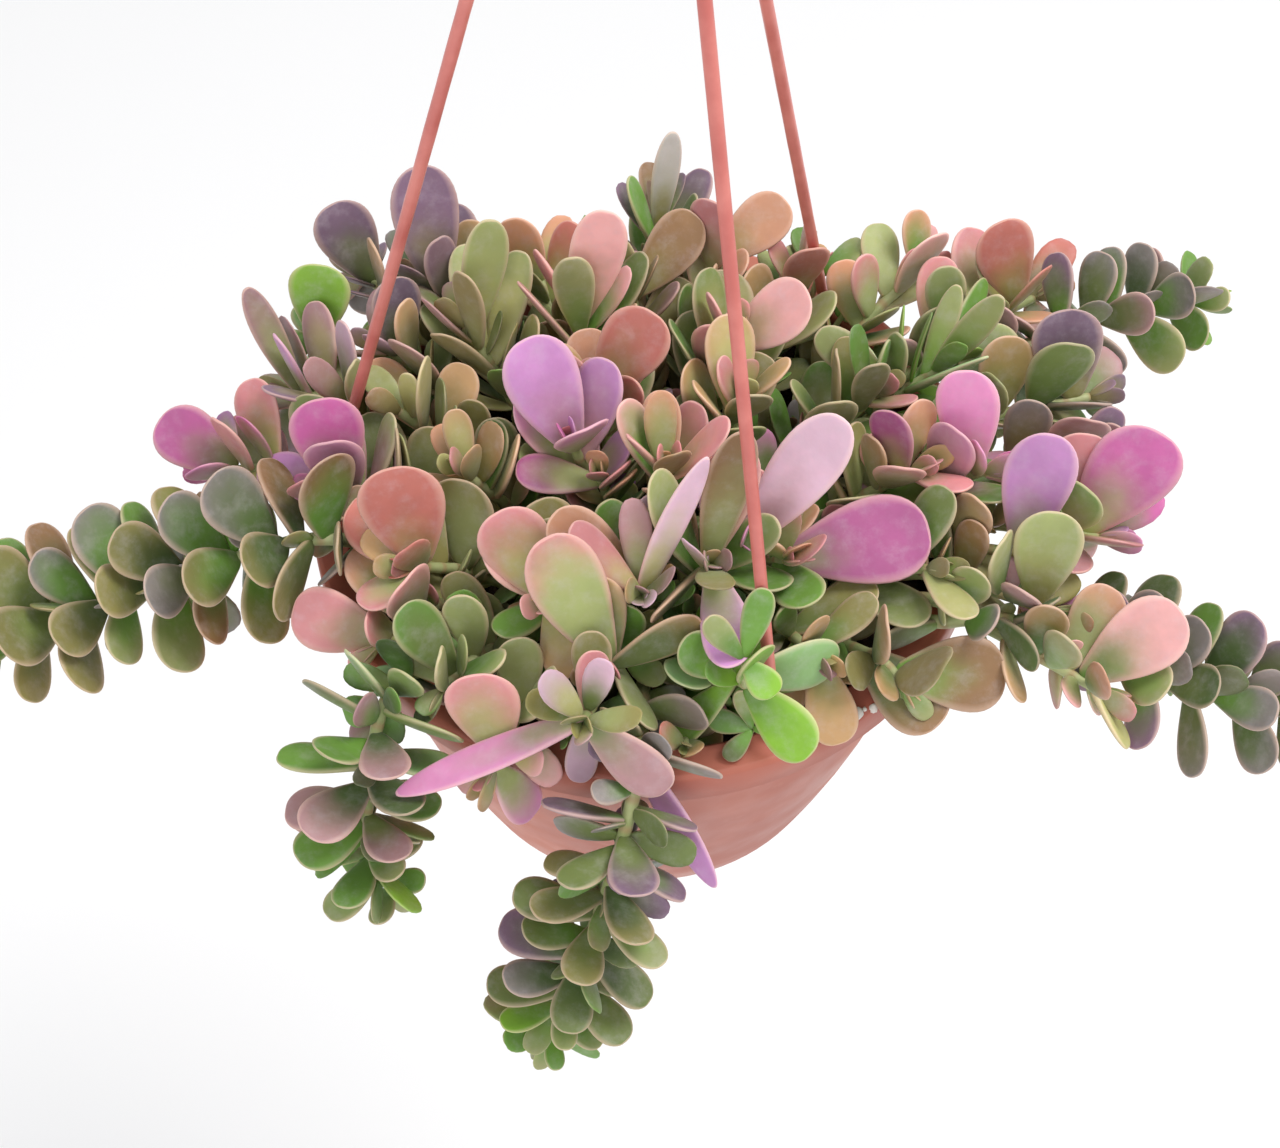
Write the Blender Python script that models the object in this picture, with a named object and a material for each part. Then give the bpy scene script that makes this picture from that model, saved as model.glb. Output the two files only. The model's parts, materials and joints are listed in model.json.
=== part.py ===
"""A trailing senecio with fleshy leaves, growing in a hanging plastic pot.

Metres, +Z up. The origin is the point where the hook bears on what it hangs from.
The front of the pot, the side that is looked at, faces -Y.
"""
import math
import random

import bmesh
import bpy
from mathutils import Matrix, Vector
from mathutils.bvhtree import BVHTree

MM = 0.001
GAP = 0.3 * MM

# Driving dimensions of the pot and its hanger
RIM_Z = -405 * MM
RIM_R = 115 * MM
LIP_DROP = 14 * MM
WALL = 2.2 * MM
LIP_WIDTH = 12 * MM
SKIRT = 1.6 * MM
POT_DEPTH = 155 * MM
POT_FOOT_R = 74 * MM
FOOT_ROUND = 5 * MM
WALL_BULGE = 1.6
WALL_SHARES = (0.97, 0.82, 0.58, 0.30)
POT_SIDES = 24
DRAIN_R = 4 * MM
DRAIN_RING_R = 45 * MM
DRAIN_COUNT = 4
DRAIN_SIDES = 8
SOIL_DROP = 22 * MM
SOIL_ROUND = 4 * MM
SOIL_GAP = 0.5 * MM
SOIL_SHARES = (0.82, 0.30)
HOLE_R = 107.4 * MM
HOLE_SLACK = 0.6 * MM
LIP_BORE = (6 * MM, 3 * MM)
STRAND_R = 2.0 * MM
STRAND_SIDES = 8
STRAND_ANGLES = (22.3, 142.3, 262.3)
BEAD_R = 2.9 * MM
BEAD_H = 2.4 * MM
BEAD_STEP = 0.05 * MM
CROWN_Z = -52 * MM
CROWN_R = 13 * MM
CROWN_H = 4 * MM
CROWN_HOLE_R = 8 * MM
CROWN_SIDES = 16
CROWN_BORE = (4 * MM, 9 * MM)
HOOK_SHANK = 14 * MM
HOOK_WIRE_R = 2.5 * MM
HOOK_BEND_R = 14.5 * MM
HOOK_SWEEP = 290
HOOK_STEPS = 10
HOOK_SIDES = 6

# The planted stems
STEM_R = 2.7 * MM
STEM_TIP_R = 1.7 * MM
STEM_SIDES = 6
START_TRIES = 8
STEM_SUNK = 14 * MM
STEM_RISE = 7 * MM
RIM_PASS = 9 * MM
MIDDLE_RISE = 0.6
MIDDLE_SHARE = 0.8
RIM_INNER_R = RIM_R - LIP_WIDTH + 1 * MM
SPLINE_STEPS = 12
UPRIGHT_LEAFY = 0.36
TRAILING_LEAFY = 0.18
PAIR_SPOTS = (0.3, 0.75)
TRAIL_LEANS = (30, -36, 82, -84)
TRAIL_STRAY = 14
FLANK_LEAN = 60
FLANK_SHOW = 0.35
ROOT_SHARE = 0.62
ROOT_STAGGER = (1.0, 0.9)
ROOT_R_MAX = 80 * MM
LIGHT = Vector((0.0, 0.40, 0.917))
VIEW = Vector((0.0, -0.56, 0.83))

# Leaf outline: stations along the blade, neck share, place of the widest point
STATIONS = (0.38, 0.70, 0.96)
NECK = 0.20
WIDEST = 0.65
BELLY = 1.4
LEAF_T = 3.4 * MM
THICK_FOOT = 0.62
THICK_TAPER = 0.28
CLEAR = 0.5 * MM
CLEAR_OWN = 0.15 * MM
OUTWARD_MIN = 0.45
BLADE_RISE = 1.5 * MM
BEND_TRIES = 60
SWING = 80
RISE = (-0.5, 0.7)
ROLL = 90
SHRINK = 0.45
PUSH = 1.4

# One row for each upright stem: name, tip (x, y, height over the rim) in mm,
# leaf length and width in mm, number of leaves, tone
UPRIGHT = (
    ("plum_left", (-103, 87, 14), 34, 22, 8, "plum"),
    ("green_left", (-117, 50, 8), 26, 20, 10, "bright"),
    ("mauve_left", (-91, 48, 18), 38, 23, 8, "mauve"),
    ("grey_tall", (-77, 76, 22), 46, 24, 8, "plum"),
    ("long_mauve", (-63, 50, 28), 46, 19, 8, "mauve"),
    ("coral_back", (-39, 82, 22), 36, 22, 8, "coral"),
    ("rose_back", (-24, 51, 32), 46, 20, 10, "rose"),
    ("brown_back", (-4, 67, 26), 38, 21, 8, "olive"),
    ("silver_back", (5, 102, 26), 38, 17, 8, "plum"),
    ("peach_back", (25, 82, 26), 38, 25, 10, "peach"),
    ("pink_big", (29, 40, 32), 40, 26, 10, "rose"),
    ("coral_right", (59, 83, 18), 38, 25, 8, "coral"),
    ("pink_back", (100, 84, 16), 34, 20, 8, "rose"),
    ("coral_far", (140, 73, 14), 36, 21, 12, "coral"),
    ("mauve_far", (154, 26, 16), 34, 24, 12, "plum"),
    ("rose_m", (6, -20, 38), 38, 18, 10, "rose"),
    ("star_green", (103, 34, 24), 42, 14, 10, "bright"),
    ("pale_green", (78, 18, 28), 38, 18, 10, "green"),
    ("plum_right", (160, 2, 10), 30, 20, 12, "plum"),
    ("orchid_a", (113, -13, 26), 40, 24, 10, "orchid"),
    ("orchid_b", (126, -42, 20), 42, 25, 12, "orchid"),
    ("magenta_r", (150, -33, 16), 38, 27, 12, "orchid"),
    ("palegreen_r", (146, -84, 2), 38, 23, 12, "rose"),
    ("olive_r", (132, -60, 12), 34, 21, 12, "olive"),
    ("rose_cr", (88, -16, 30), 36, 21, 10, "rose"),
    ("violet_cr", (32, -48, 34), 42, 22, 8, "orchid"),
    ("hotpink", (45, -49, 28), 40, 24, 10, "rose"),
    ("palegreen_cr", (91, -52, 26), 36, 20, 8, "green"),
    ("tan_cr", (54, -80, 18), 34, 20, 10, "olive"),
    ("brown_cr", (82, -84, 6), 34, 23, 10, "olive"),
    ("lilac_m", (-24, -10, 38), 40, 25, 8, "orchid"),
    ("coral_m", (-17, 13, 38), 36, 23, 10, "coral"),
    ("cream_m", (32, 12, 34), 36, 21, 10, "peach"),
    ("tall_m", (20, -59, 40), 46, 19, 10, "mauve"),
    ("lilac_n", (-2, -69, 38), 42, 17, 10, "mauve"),
    ("magenta_m", (-15, -19, 32), 34, 22, 10, "rose"),
    ("rose_ml", (-32, -64, 26), 36, 23, 10, "rose"),
    ("big_green", (-12, -89, 26), 42, 24, 10, "green"),
    ("violet_front", (-20, -113, 34), 32, 18, 10, "mauve"),
    ("bright_m", (30, -99, 32), 33, 19, 12, "bright"),
    ("rose_front", (-49, -114, 6), 34, 22, 10, "rose"),
    ("magenta_l", (-146, 4, 6), 32, 21, 12, "orchid"),
    ("mauve_l", (-124, 34, 12), 36, 17, 12, "mauve"),
    ("pink_l", (-106, -13, 18), 36, 23, 12, "orchid"),
    ("coral_l", (-76, -50, 26), 38, 25, 10, "coral"),
    ("peach_l", (-84, 14, 26), 34, 19, 8, "peach"),
    ("tan_l", (-60, -16, 30), 32, 17, 8, "peach"),
    ("pink_low", (-88, -68, 6), 32, 22, 12, "rose"),
    ("grey_low", (-66, -90, 14), 32, 18, 10, "green"),
)

# One row for each stem that trails over the rim: name, points after the root
# (x, y, height over the rim) in mm, leaf length and width, number of leaves, tone,
# and how far its leaves turn from the stem's way to the front
TRAILING = (
    ("trail_left",
     ((-95, -30, 12), (-120, -32, 14), (-165, -34, -8), (-205, -36, -26), (-240, -36, -42)),
     34, 22, 38, "olive", 0.9),
    ("trail_right", ((92, -62, 10), (116, -64, 14), (150, -66, -4), (185, -72, -20), (226, -70, -36)),
     33, 20, 34, "plum", 0.8),
    ("trail_back", ((96, 42, 12), (126, 46, 16), (152, 60, 14), (178, 72, 8), (202, 80, 2)),
     30, 19, 26, "plum", 0.7),
    ("trail_front",
     ((-2, -100, 12), (-4, -122, 12), (-12, -140, -16), (-24, -152, -58), (-36, -160, -100)),
     28, 16, 32, "green", 0.15),
    ("trail_spray",
     ((-78, -84, 10), (-86, -100, 8), (-90, -112, -14), (-92, -120, -36), (-86, -124, -56)),
     29, 18, 30, "green", 0.5),
)

# The leaves that stand out on a stem, each by its lean from the right-hand side seen
# from the front, its length and width in mm, and its turn about its own length
LEADS = {
    "plum_left": ((112, 34, 23, 10),),
    "mauve_left": ((95, 38, 25, 0),),
    "grey_tall": ((97, 50, 25, 10), (75, 44, 18, 30)),
    "long_mauve": ((85, 52, 19, 10),),
    "coral_back": ((110, 34, 20, 0),),
    "rose_back": ((92, 50, 20, 0), (115, 40, 15, 20)),
    "brown_back": ((100, 38, 18, 0), (60, 38, 21, 10)),
    "silver_back": ((84, 40, 12, 20),),
    "peach_back": ((95, 38, 27, 0), (60, 34, 20, 10)),
    "pink_big": ((72, 49, 31, 0),),
    "coral_right": ((40, 38, 24, 15),),
    "coral_far": ((110, 34, 23, 0), (75, 40, 17, 0)),
    "mauve_far": ((100, 36, 26, 0),),
    "star_green": ((50, 44, 13, 10), (80, 46, 14, 0), (110, 44, 14, 0), (25, 40, 12, 20),
                   (140, 40, 15, 0)),
    "orchid_a": ((104, 44, 24, 0),),
    "orchid_b": ((84, 49, 26, 0),),
    "magenta_r": ((62, 45, 30, 0), (120, 34, 20, 0)),
    "olive_r": ((85, 38, 24, 0),),
    "palegreen_r": ((40, 40, 25, 0), (-35, 34, 20, 10)),
    "rose_cr": ((96, 36, 22, 10), (20, 34, 20, 0)),
    "violet_cr": ((58, 58, 22, 0), (95, 38, 22, 0)),
    "hotpink": ((14, 49, 30, 0),),
    "palegreen_cr": ((85, 38, 19, 0),),
    "tan_cr": ((18, 38, 18, 20), (80, 38, 22, 0), (-50, 32, 19, 0)),
    "brown_cr": ((0, 36, 26, 0),),
    "lilac_m": ((112, 46, 26, 0),),
    "coral_m": ((60, 38, 24, 0), (100, 37, 22, 10), (130, 34, 18, 10)),
    "tall_m": ((88, 60, 19, 0), (112, 50, 20, 0), (66, 40, 15, 20)),
    "lilac_n": ((84, 54, 13, 20), (108, 46, 20, 0), (132, 42, 20, 10)),
    "magenta_m": ((160, 34, 19, 10),),
    "rose_ml": ((115, 38, 24, 0), (150, 34, 20, 10)),
    "big_green": ((114, 52, 25, 0), (72, 42, 19, 10)),
    "bright_m": ((34, 36, 24, 0), (85, 30, 20, 0), (-125, 36, 13, 20), (-68, 38, 22, 0),
                 (-25, 32, 18, 10), (130, 30, 18, 10)),
    "rose_front": ((100, 34, 25, 0), (150, 30, 18, 0)),
    "violet_front": ((206, 66, 16, 35), (228, 34, 18, 20), (262, 28, 11, 0), (60, 30, 17, 0)),
    "magenta_l": ((140, 32, 22, 0), (180, 30, 20, 0)),
    "mauve_l": ((112, 44, 13, 20), (85, 42, 16, 10)),
    "pink_l": ((98, 36, 26, 0), (160, 36, 22, 0)),
    "coral_l": ((100, 39, 29, 0),),
    "pink_low": ((168, 36, 25, 0), (85, 34, 15, 10)),
    "grey_low": ((178, 32, 19, 0),),
}

# Leaves set by hand further back on a trailing stem, by their number from its tip
HANGING = {
    ("trail_front", 27): (-64, 56, 14, 35),
}

TONES = {
    "plum": (0.24, 0.17, 0.22),
    "mauve": (0.40, 0.24, 0.26),
    "rose": (0.62, 0.26, 0.27),
    "coral": (0.60, 0.23, 0.20),
    "peach": (0.56, 0.30, 0.20),
    "orchid": (0.50, 0.20, 0.38),
    "olive": (0.25, 0.24, 0.11),
    "green": (0.20, 0.29, 0.10),
    "bright": (0.16, 0.38, 0.06),
}


def clear_file():
    """Remove every object that the file opened with."""
    for old in list(bpy.data.objects):
        bpy.data.objects.remove(old, do_unlink=True)


def plain_material(name, colour, roughness):
    """A Principled material with one colour."""
    material = bpy.data.materials.new(name)
    material.use_nodes = True
    shader = material.node_tree.nodes["Principled BSDF"]
    shader.inputs["Base Color"].default_value = (*colour, 1.0)
    shader.inputs["Roughness"].default_value = roughness
    shader.inputs["Metallic"].default_value = 0.0
    return material


def add_object(name, bm, material=None):
    """Close a bmesh into a named object."""
    bmesh.ops.recalc_face_normals(bm, faces=bm.faces[:])
    mesh = bpy.data.meshes.new(name)
    bm.to_mesh(mesh)
    bm.free()
    body = bpy.data.objects.new(name, mesh)
    bpy.context.scene.collection.objects.link(body)
    if material:
        mesh.materials.append(material)
    return body


def ring_around(bm, centre, along, radius, sides, start=0.0):
    """A ring of vertices square to a direction."""
    side = along.cross(Vector((0.0, 1.0, 0.0)))
    if side.length < 0.2:
        side = along.cross(Vector((1.0, 0.0, 0.0)))
    side.normalize()
    other = along.cross(side).normalized()
    ring = []
    for k in range(sides):
        a = start + math.tau * k / sides
        ring.append(bm.verts.new(centre + (side * math.cos(a) + other * math.sin(a)) * radius))
    return ring


def skin_rings(bm, rings):
    """Join rings of the same count into a tube with closed ends."""
    for low, high in zip(rings, rings[1:]):
        count = len(low)
        for k in range(count):
            n = (k + 1) % count
            bm.faces.new((low[k], low[n], high[n], high[k]))
    bm.faces.new(rings[0][::-1])
    bm.faces.new(rings[-1])


def tube(bm, points, radii, sides, start=0.0):
    """A tube through points, with its own radius at each."""
    rings = []
    for k, (point, radius) in enumerate(zip(points, radii)):
        before = points[max(k - 1, 0)]
        after = points[min(k + 1, len(points) - 1)]
        rings.append(ring_around(bm, point, (after - before).normalized(), radius, sides, start))
    skin_rings(bm, rings)


def turned(bm, profile, sides):
    """Turn a closed profile of (radius, z) about Z; radius 0 is a point on the axis."""
    rings = []
    for radius, z in profile:
        if radius == 0.0:
            rings.append([bm.verts.new((0.0, 0.0, z))])
            continue
        angles = [math.tau * k / sides for k in range(sides)]
        rings.append([bm.verts.new((radius * math.cos(a), radius * math.sin(a), z)) for a in angles])
    for one, two in zip(rings, rings[1:] + rings[:1]):
        for k in range(sides):
            n = (k + 1) % sides
            corners = [one[k % len(one)], one[n % len(one)], two[n % len(two)], two[k % len(two)]]
            loop = list(dict.fromkeys(corners))
            if len(loop) > 2:
                bm.faces.new(loop)


def boolean(body, other, operation):
    """Apply a Boolean of an object or a collection, then remove what was used."""
    step = body.modifiers.new("bool", "BOOLEAN")
    step.operation = operation
    step.solver = "EXACT"
    if isinstance(other, bpy.types.Collection):
        step.operand_type = "COLLECTION"
        step.collection = other
    else:
        step.object = other
    graph = bpy.context.evaluated_depsgraph_get()
    made = bpy.data.meshes.new_from_object(body.evaluated_get(graph))
    body.modifiers.clear()
    body.data = made
    used = list(other.objects) if isinstance(other, bpy.types.Collection) else [other]
    for piece in used:
        bpy.data.objects.remove(piece, do_unlink=True)
    if isinstance(other, bpy.types.Collection):
        bpy.data.collections.remove(other)


def wall_radius(depth):
    """Outer radius of the pot's wall at a depth under the rim."""
    share = min(max(depth / POT_DEPTH, 0.0), 1.0)
    return POT_FOOT_R + (RIM_R - LIP_WIDTH + WALL - POT_FOOT_R) * (1.0 - share ** WALL_BULGE)


def pot_profile():
    """The pot's section: foot, wall, hollow lip with its skirt, and the inside."""
    depths = [POT_DEPTH * share for share in WALL_SHARES]
    outer = [(0.0, -POT_DEPTH), (POT_FOOT_R - FOOT_ROUND, -POT_DEPTH)]
    outer += [(wall_radius(d), -d) for d in depths]
    lip = [
        (RIM_R - LIP_WIDTH + WALL, -WALL),
        (RIM_R - SKIRT, -WALL),
        (RIM_R - SKIRT, -LIP_DROP),
        (RIM_R, -LIP_DROP),
        (RIM_R, -WALL * 0.5),
        (RIM_R - WALL * 0.5, 0.0),
        (RIM_R - LIP_WIDTH, 0.0),
    ]
    inner = [(wall_radius(d) - WALL, -d + WALL * 0.3) for d in reversed(depths[1:])]
    inner += [(POT_FOOT_R - FOOT_ROUND, -POT_DEPTH + WALL), (0.0, -POT_DEPTH + WALL)]
    return outer + lip + inner


def inner_radius(depth):
    """Radius of the pot's inside at a depth under the rim, on the flats of its profile."""
    inside = [(-z, r) for r, z in pot_profile()[-len(WALL_SHARES) - 2:-1]]
    for (high, top), (low, bottom) in zip(inside, inside[1:]):
        if high <= depth <= low:
            return top + (bottom - top) * (depth - high) / (low - high)
    return POT_FOOT_R - FOOT_ROUND


def strand_line(angle):
    """Foot and head of a strand: the rim's hole and the crown's."""
    a = math.radians(angle)
    way = Vector((math.sin(a), -math.cos(a), 0.0))
    return way * HOLE_R + Vector((0, 0, RIM_Z)), way * CROWN_HOLE_R + Vector((0, 0, CROWN_Z))


def drill(body, foot, head, radius, sides):
    """Cut a straight hole from foot to head."""
    bm = bmesh.new()
    tube(bm, [foot, head], [radius, radius], sides)
    cutter = add_object("cutter", bm)
    boolean(body, cutter, "DIFFERENCE")


def build_pot(material):
    """The moulded pot with three strand holes in its lip and drain holes in its foot."""
    bm = bmesh.new()
    turned(bm, [(r, z + RIM_Z) for r, z in pot_profile()], POT_SIDES)
    pot = add_object("pot", bm, material)
    for angle in STRAND_ANGLES:
        foot, head = strand_line(angle)
        way = (head - foot).normalized()
        drill(pot, foot - way * LIP_BORE[0], foot + way * LIP_BORE[1], STRAND_R + HOLE_SLACK, STRAND_SIDES)
    for k in range(DRAIN_COUNT):
        a = math.tau * (k + 0.5) / DRAIN_COUNT
        spot = Vector((DRAIN_RING_R * math.cos(a), DRAIN_RING_R * math.sin(a), RIM_Z - POT_DEPTH))
        drill(pot, spot - Vector((0, 0, WALL)), spot + Vector((0, 0, 2 * WALL)), DRAIN_R, DRAIN_SIDES)
    return pot


def build_soil(material, stems):
    """The soil that fills the pot, with a plain hole for each stem."""
    floor = POT_DEPTH - WALL - GAP
    depths = [floor] + [share * POT_DEPTH for share in SOIL_SHARES] + [SOIL_DROP + SOIL_ROUND]
    profile = [(0.0, -floor)] + [(inner_radius(depth) - SOIL_GAP, -depth) for depth in depths]
    profile += [(inner_radius(SOIL_DROP) - SOIL_GAP - SOIL_ROUND, -SOIL_DROP), (0.0, -SOIL_DROP)]
    bm = bmesh.new()
    turned(bm, [(r, z + RIM_Z) for r, z in profile], POT_SIDES)
    soil = add_object("soil", bm, material)
    holes = bpy.data.collections.new("holes")
    bpy.context.scene.collection.children.link(holes)
    for stem in stems:
        foot = stem.route[0]
        ring = [(corner - foot) * (STEM_R + HOLE_SLACK) / STEM_R for corner in stem.rings[0]]
        levels = (foot - Vector((0, 0, 0.5 * MM)), foot + Vector((0, 0, STEM_SUNK + STEM_RISE)))
        bm = bmesh.new()
        skin_rings(bm, [[bm.verts.new(level + corner) for corner in ring] for level in levels])
        cutter = add_object("hole", bm)
        bpy.context.scene.collection.objects.unlink(cutter)
        holes.objects.link(cutter)
    boolean(soil, holes, "DIFFERENCE")
    return soil


def build_strand(name, angle, material):
    """A round strand from a bead under the lip to a bead on the crown."""
    foot, head = strand_line(angle)
    way = (head - foot).normalized()
    lean = BEAD_R * math.sqrt(1.0 - way.z ** 2) + GAP
    low = foot - way * (WALL + lean) / way.z
    high = head + way * (CROWN_H + lean) / way.z
    step = way * BEAD_STEP
    points = [low - way * BEAD_H, low, low + step, high - step, high, high + way * BEAD_H]
    radii = [BEAD_R, BEAD_R, STRAND_R, STRAND_R, BEAD_R, BEAD_R]
    bm = bmesh.new()
    tube(bm, points, radii, STRAND_SIDES)
    return add_object(name, bm, material)


def build_hook(material):
    """The crown disc with three holes, and the open hook that stands on it."""
    bm = bmesh.new()
    top = CROWN_Z + CROWN_H
    turned(bm, [(0.0, CROWN_Z), (CROWN_R, CROWN_Z), (CROWN_R, top), (0.0, top)], CROWN_SIDES)
    hook = add_object("hook", bm, material)
    centre_z = HOOK_WIRE_R - HOOK_BEND_R
    points = [Vector((0, 0, CROWN_Z + CROWN_H * 0.5)), Vector((0, 0, CROWN_Z + HOOK_SHANK))]
    for k in range(HOOK_STEPS + 1):
        a = math.radians(HOOK_SWEEP * k / HOOK_STEPS - 90)
        points.append(Vector((HOOK_BEND_R * math.cos(a), 0, centre_z + HOOK_BEND_R * math.sin(a))))
    bm = bmesh.new()
    tube(bm, points, [HOOK_WIRE_R] * len(points), HOOK_SIDES)
    wire = add_object("wire", bm)
    boolean(hook, wire, "UNION")
    for angle in STRAND_ANGLES:
        foot, head = strand_line(angle)
        way = (head - foot).normalized()
        low, high = head - way * CROWN_BORE[0], head + way * CROWN_BORE[1]
        drill(hook, low, high, STRAND_R + HOLE_SLACK, STRAND_SIDES)
    return hook


def spline(points):
    """A fine, evenly smooth curve through the given points."""
    ends = [points[0] * 2 - points[1]] + list(points) + [points[-1] * 2 - points[-2]]
    fine = []
    for a, b, c, d in zip(ends, ends[1:], ends[2:], ends[3:]):
        for k in range(SPLINE_STEPS):
            t = k / SPLINE_STEPS
            bent = (2 * a - 5 * b + 4 * c - d) * t * t + (3 * b - a - 3 * c + d) * t ** 3
            fine.append((2 * b + (c - a) * t + bent) * 0.5)
    fine.append(points[-1].copy())
    return fine


def points_at(fine, shares):
    """Points at the given shares of a curve's length."""
    lengths = [0.0]
    for one, two in zip(fine, fine[1:]):
        lengths.append(lengths[-1] + (two - one).length)
    found = []
    for share in shares:
        wanted = lengths[-1] * share
        k = 0
        while k < len(fine) - 2 and lengths[k + 1] < wanted:
            k += 1
        part = (wanted - lengths[k]) / (lengths[k + 1] - lengths[k])
        found.append(fine[k].lerp(fine[k + 1], min(max(part, 0.0), 1.0)))
    return found


def over_rim(x, y, height):
    """A point given in millimetres from the rim's centre."""
    return Vector((x * MM, y * MM, RIM_Z + height * MM))


def root_of(point, stagger):
    """Where a stem stands in the soil: inward of a point above it, inside the pot."""
    flat = Vector((point.x, point.y, 0.0))
    share = min(ROOT_SHARE, ROOT_R_MAX / max(flat.length, MM)) * stagger
    return Vector((flat.x * share, flat.y * share, RIM_Z - SOIL_DROP))


def stem_route(points, leafy_from, count, stagger):
    """A stem's centre line: sunk in the soil, straight up out of it, then one step for each leaf."""
    root = root_of(points[0], stagger)
    above = root + Vector((0, 0, STEM_RISE))
    if len(points) == 1:
        tip = points[0]
        reach = math.hypot(tip.x, tip.y)
        share = RIM_INNER_R / reach if reach > RIM_R else MIDDLE_SHARE
        height = max(root.z + (tip.z - root.z) * MIDDLE_RISE, RIM_Z + RIM_PASS)
        middle = Vector((tip.x * share, tip.y * share, height))
        points = [middle, tip]
    shares = [leafy_from + (1.0 - leafy_from) * k / count for k in range(count + 1)]
    return [root - Vector((0, 0, STEM_SUNK)), above] + points_at(spline([above] + list(points)), shares)


def stem_radii(route):
    """Radius along a stem: even in the soil, thinner to the tip."""
    count = len(route)
    return [STEM_R + (STEM_TIP_R - STEM_R) * max(k - 1, 0) / (count - 2) for k in range(count)]


def stem_rings(route, start):
    """The corners of a stem's sections, each square to its centre line."""
    rings = []
    radii = stem_radii(route)
    plan = route[-1] - route[0]
    across = Vector((-plan.y, plan.x, 0.0))
    for k, point in enumerate(route):
        tangent = (route[min(k + 1, len(route) - 1)] - route[max(k - 1, 0)]).normalized()
        side = square_to(across, tangent)
        other = tangent.cross(side)
        angles = [start + math.tau * i / STEM_SIDES for i in range(STEM_SIDES)]
        rings.append([point + (side * math.cos(a) + other * math.sin(a)) * radii[k] for a in angles])
    return rings


def stem_solid(rings):
    """Corners and faces of a bare stem."""
    corners = [corner for ring in rings for corner in ring]
    faces = []
    for k in range(len(rings) - 1):
        for i in range(STEM_SIDES):
            faces += [tuple(f) for f in side_faces(k, i)]
    return corners, faces


def side_faces(k, i):
    """The two triangles of side i of step k of a stem, as numbers of its corners."""
    n = (i + 1) % STEM_SIDES
    low, high = k * STEM_SIDES, (k + 1) * STEM_SIDES
    return (low + i, low + n, high + n), (low + i, high + n, high + i)


def blade_share(t):
    """Half-width of the blade at t along it, as a share of the widest."""
    if t < WIDEST:
        return NECK + (1.0 - NECK) * math.sin(math.pi / 2 * t / WIDEST) ** BELLY
    return math.sqrt(max(1.0 - ((t - WIDEST) / (1.0 - WIDEST)) ** 2, 0.0))


def blade_rings(leaf, grow=0.0):
    """Sections of one blade: a flat upper face over a keel, fattened all round by grow."""
    base, along, face, length, width, bend = leaf
    side = along.cross(face)
    rings = []
    for t in STATIONS:
        half = width * 0.5 * blade_share(t) + grow
        thick = LEAF_T * (THICK_FOOT - THICK_TAPER * t) + grow
        spot = base + along * (length * t + (grow if t > 0.9 else 0.0)) + face * (bend * length * t * t)
        rings.append([spot - side * half + face * thick * 0.5,
                      spot + side * half + face * thick * 0.5,
                      spot - face * thick])
    return rings


def blade_solid(root, rings):
    """Corners and faces of a blade from the three corners that it grows from to its tip."""
    turns = [root[r:] + root[:r] for r in range(3)]
    centre = sum(root, Vector()) / 3
    middle = sum(rings[0], Vector()) / 3
    root = min(turns, key=lambda t: sum(((a - centre).normalized() - (b - middle).normalized()).length
                                        for a, b in zip(t, rings[0])))
    rings = [root] + rings
    corners = [corner for ring in rings for corner in ring]
    faces = []
    for k in range(len(rings) - 1):
        for i in range(3):
            j = (i + 1) % 3
            low, high = 3 * k, 3 * k + 3
            faces += [(low + i, low + j, high + j), (low + i, high + j, high + i)]
    last = 3 * (len(rings) - 1)
    faces.append((last, last + 1, last + 2))
    return corners, faces


class Room:
    """The solids placed so far, to keep a new blade clear of them."""

    def __init__(self):
        self.held = []

    def add(self, owner, kind, corners, faces):
        centre = sum(corners, Vector()) / len(corners)
        reach = max((c - centre).length for c in corners)
        self.held.append((owner, kind, centre, reach, BVHTree.FromPolygons(corners, faces)))

    def clear(self, owner, fat, bare):
        """True where the fat blade misses the others' solids, and the bare one its own stem's blades."""
        corners = fat[0]
        centre = sum(corners, Vector()) / len(corners)
        reach = max((c - centre).length for c in corners)
        trees = [BVHTree.FromPolygons(*solid) for solid in (fat, bare)]
        for other, kind, there, far, tree in self.held:
            if (there - centre).length > reach + far or (other == owner and kind == "stem"):
                continue
            if trees[other == owner].overlap(tree):
                return False
        return True


def crosses_stem(stem, root, solid):
    """True where a blade cuts its own stem, or itself, away from the facet that it grows on."""
    corners, faces = stem
    touching = {tuple(c) for c in root}
    away = [f for f in faces if not any(tuple(corners[i]) in touching for i in f)]
    blade = BVHTree.FromPolygons(*solid)
    if blade.overlap(BVHTree.FromPolygons(corners, away)):
        return True
    return any(not set(solid[1][a]) & set(solid[1][b]) for a, b in blade.overlap(blade))


def square_to(face, along):
    """The part of one direction that is square to another, at length one."""
    flat = face - along * face.dot(along)
    return flat.normalized() if flat.length > 1e-6 else along.orthogonal().normalized()


def turned_about(vector, axis, degrees):
    """A vector turned about an axis."""
    return Matrix.Rotation(math.radians(degrees), 3, axis) @ vector


def lead_leaf(k, lean, length, width, turn):
    """A leaf set by hand, by its lean seen from the front and its turn about its own length."""
    a = math.radians(lean)
    along = (Vector((math.cos(a), 0, 0)) + LIGHT * math.sin(a)).normalized()
    face = turned_about(square_to(VIEW, along), along, turn * (-1) ** k)
    return along, face, length * MM, width * MM, 0.04


def upright_leaf(draw, out, tangent, share, length, width):
    """A leaf of an upright stem: out from it, and rising to the light."""
    spread = 1.05 - 0.55 * share + draw.uniform(-0.1, 0.1)
    along = (out * spread + tangent * 0.35 + LIGHT * 0.95).normalized()
    face = square_to(VIEW * 0.55 - out * 0.9 + Vector((draw.uniform(-0.3, 0.3), 0, 0)), along)
    size = (1.0 - 0.42 * max(share - 0.7, 0.0) / 0.3) * draw.uniform(0.88, 1.08)
    return along, face, length * size, width * size * draw.uniform(0.84, 1.02), draw.uniform(0.0, 0.08)


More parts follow.
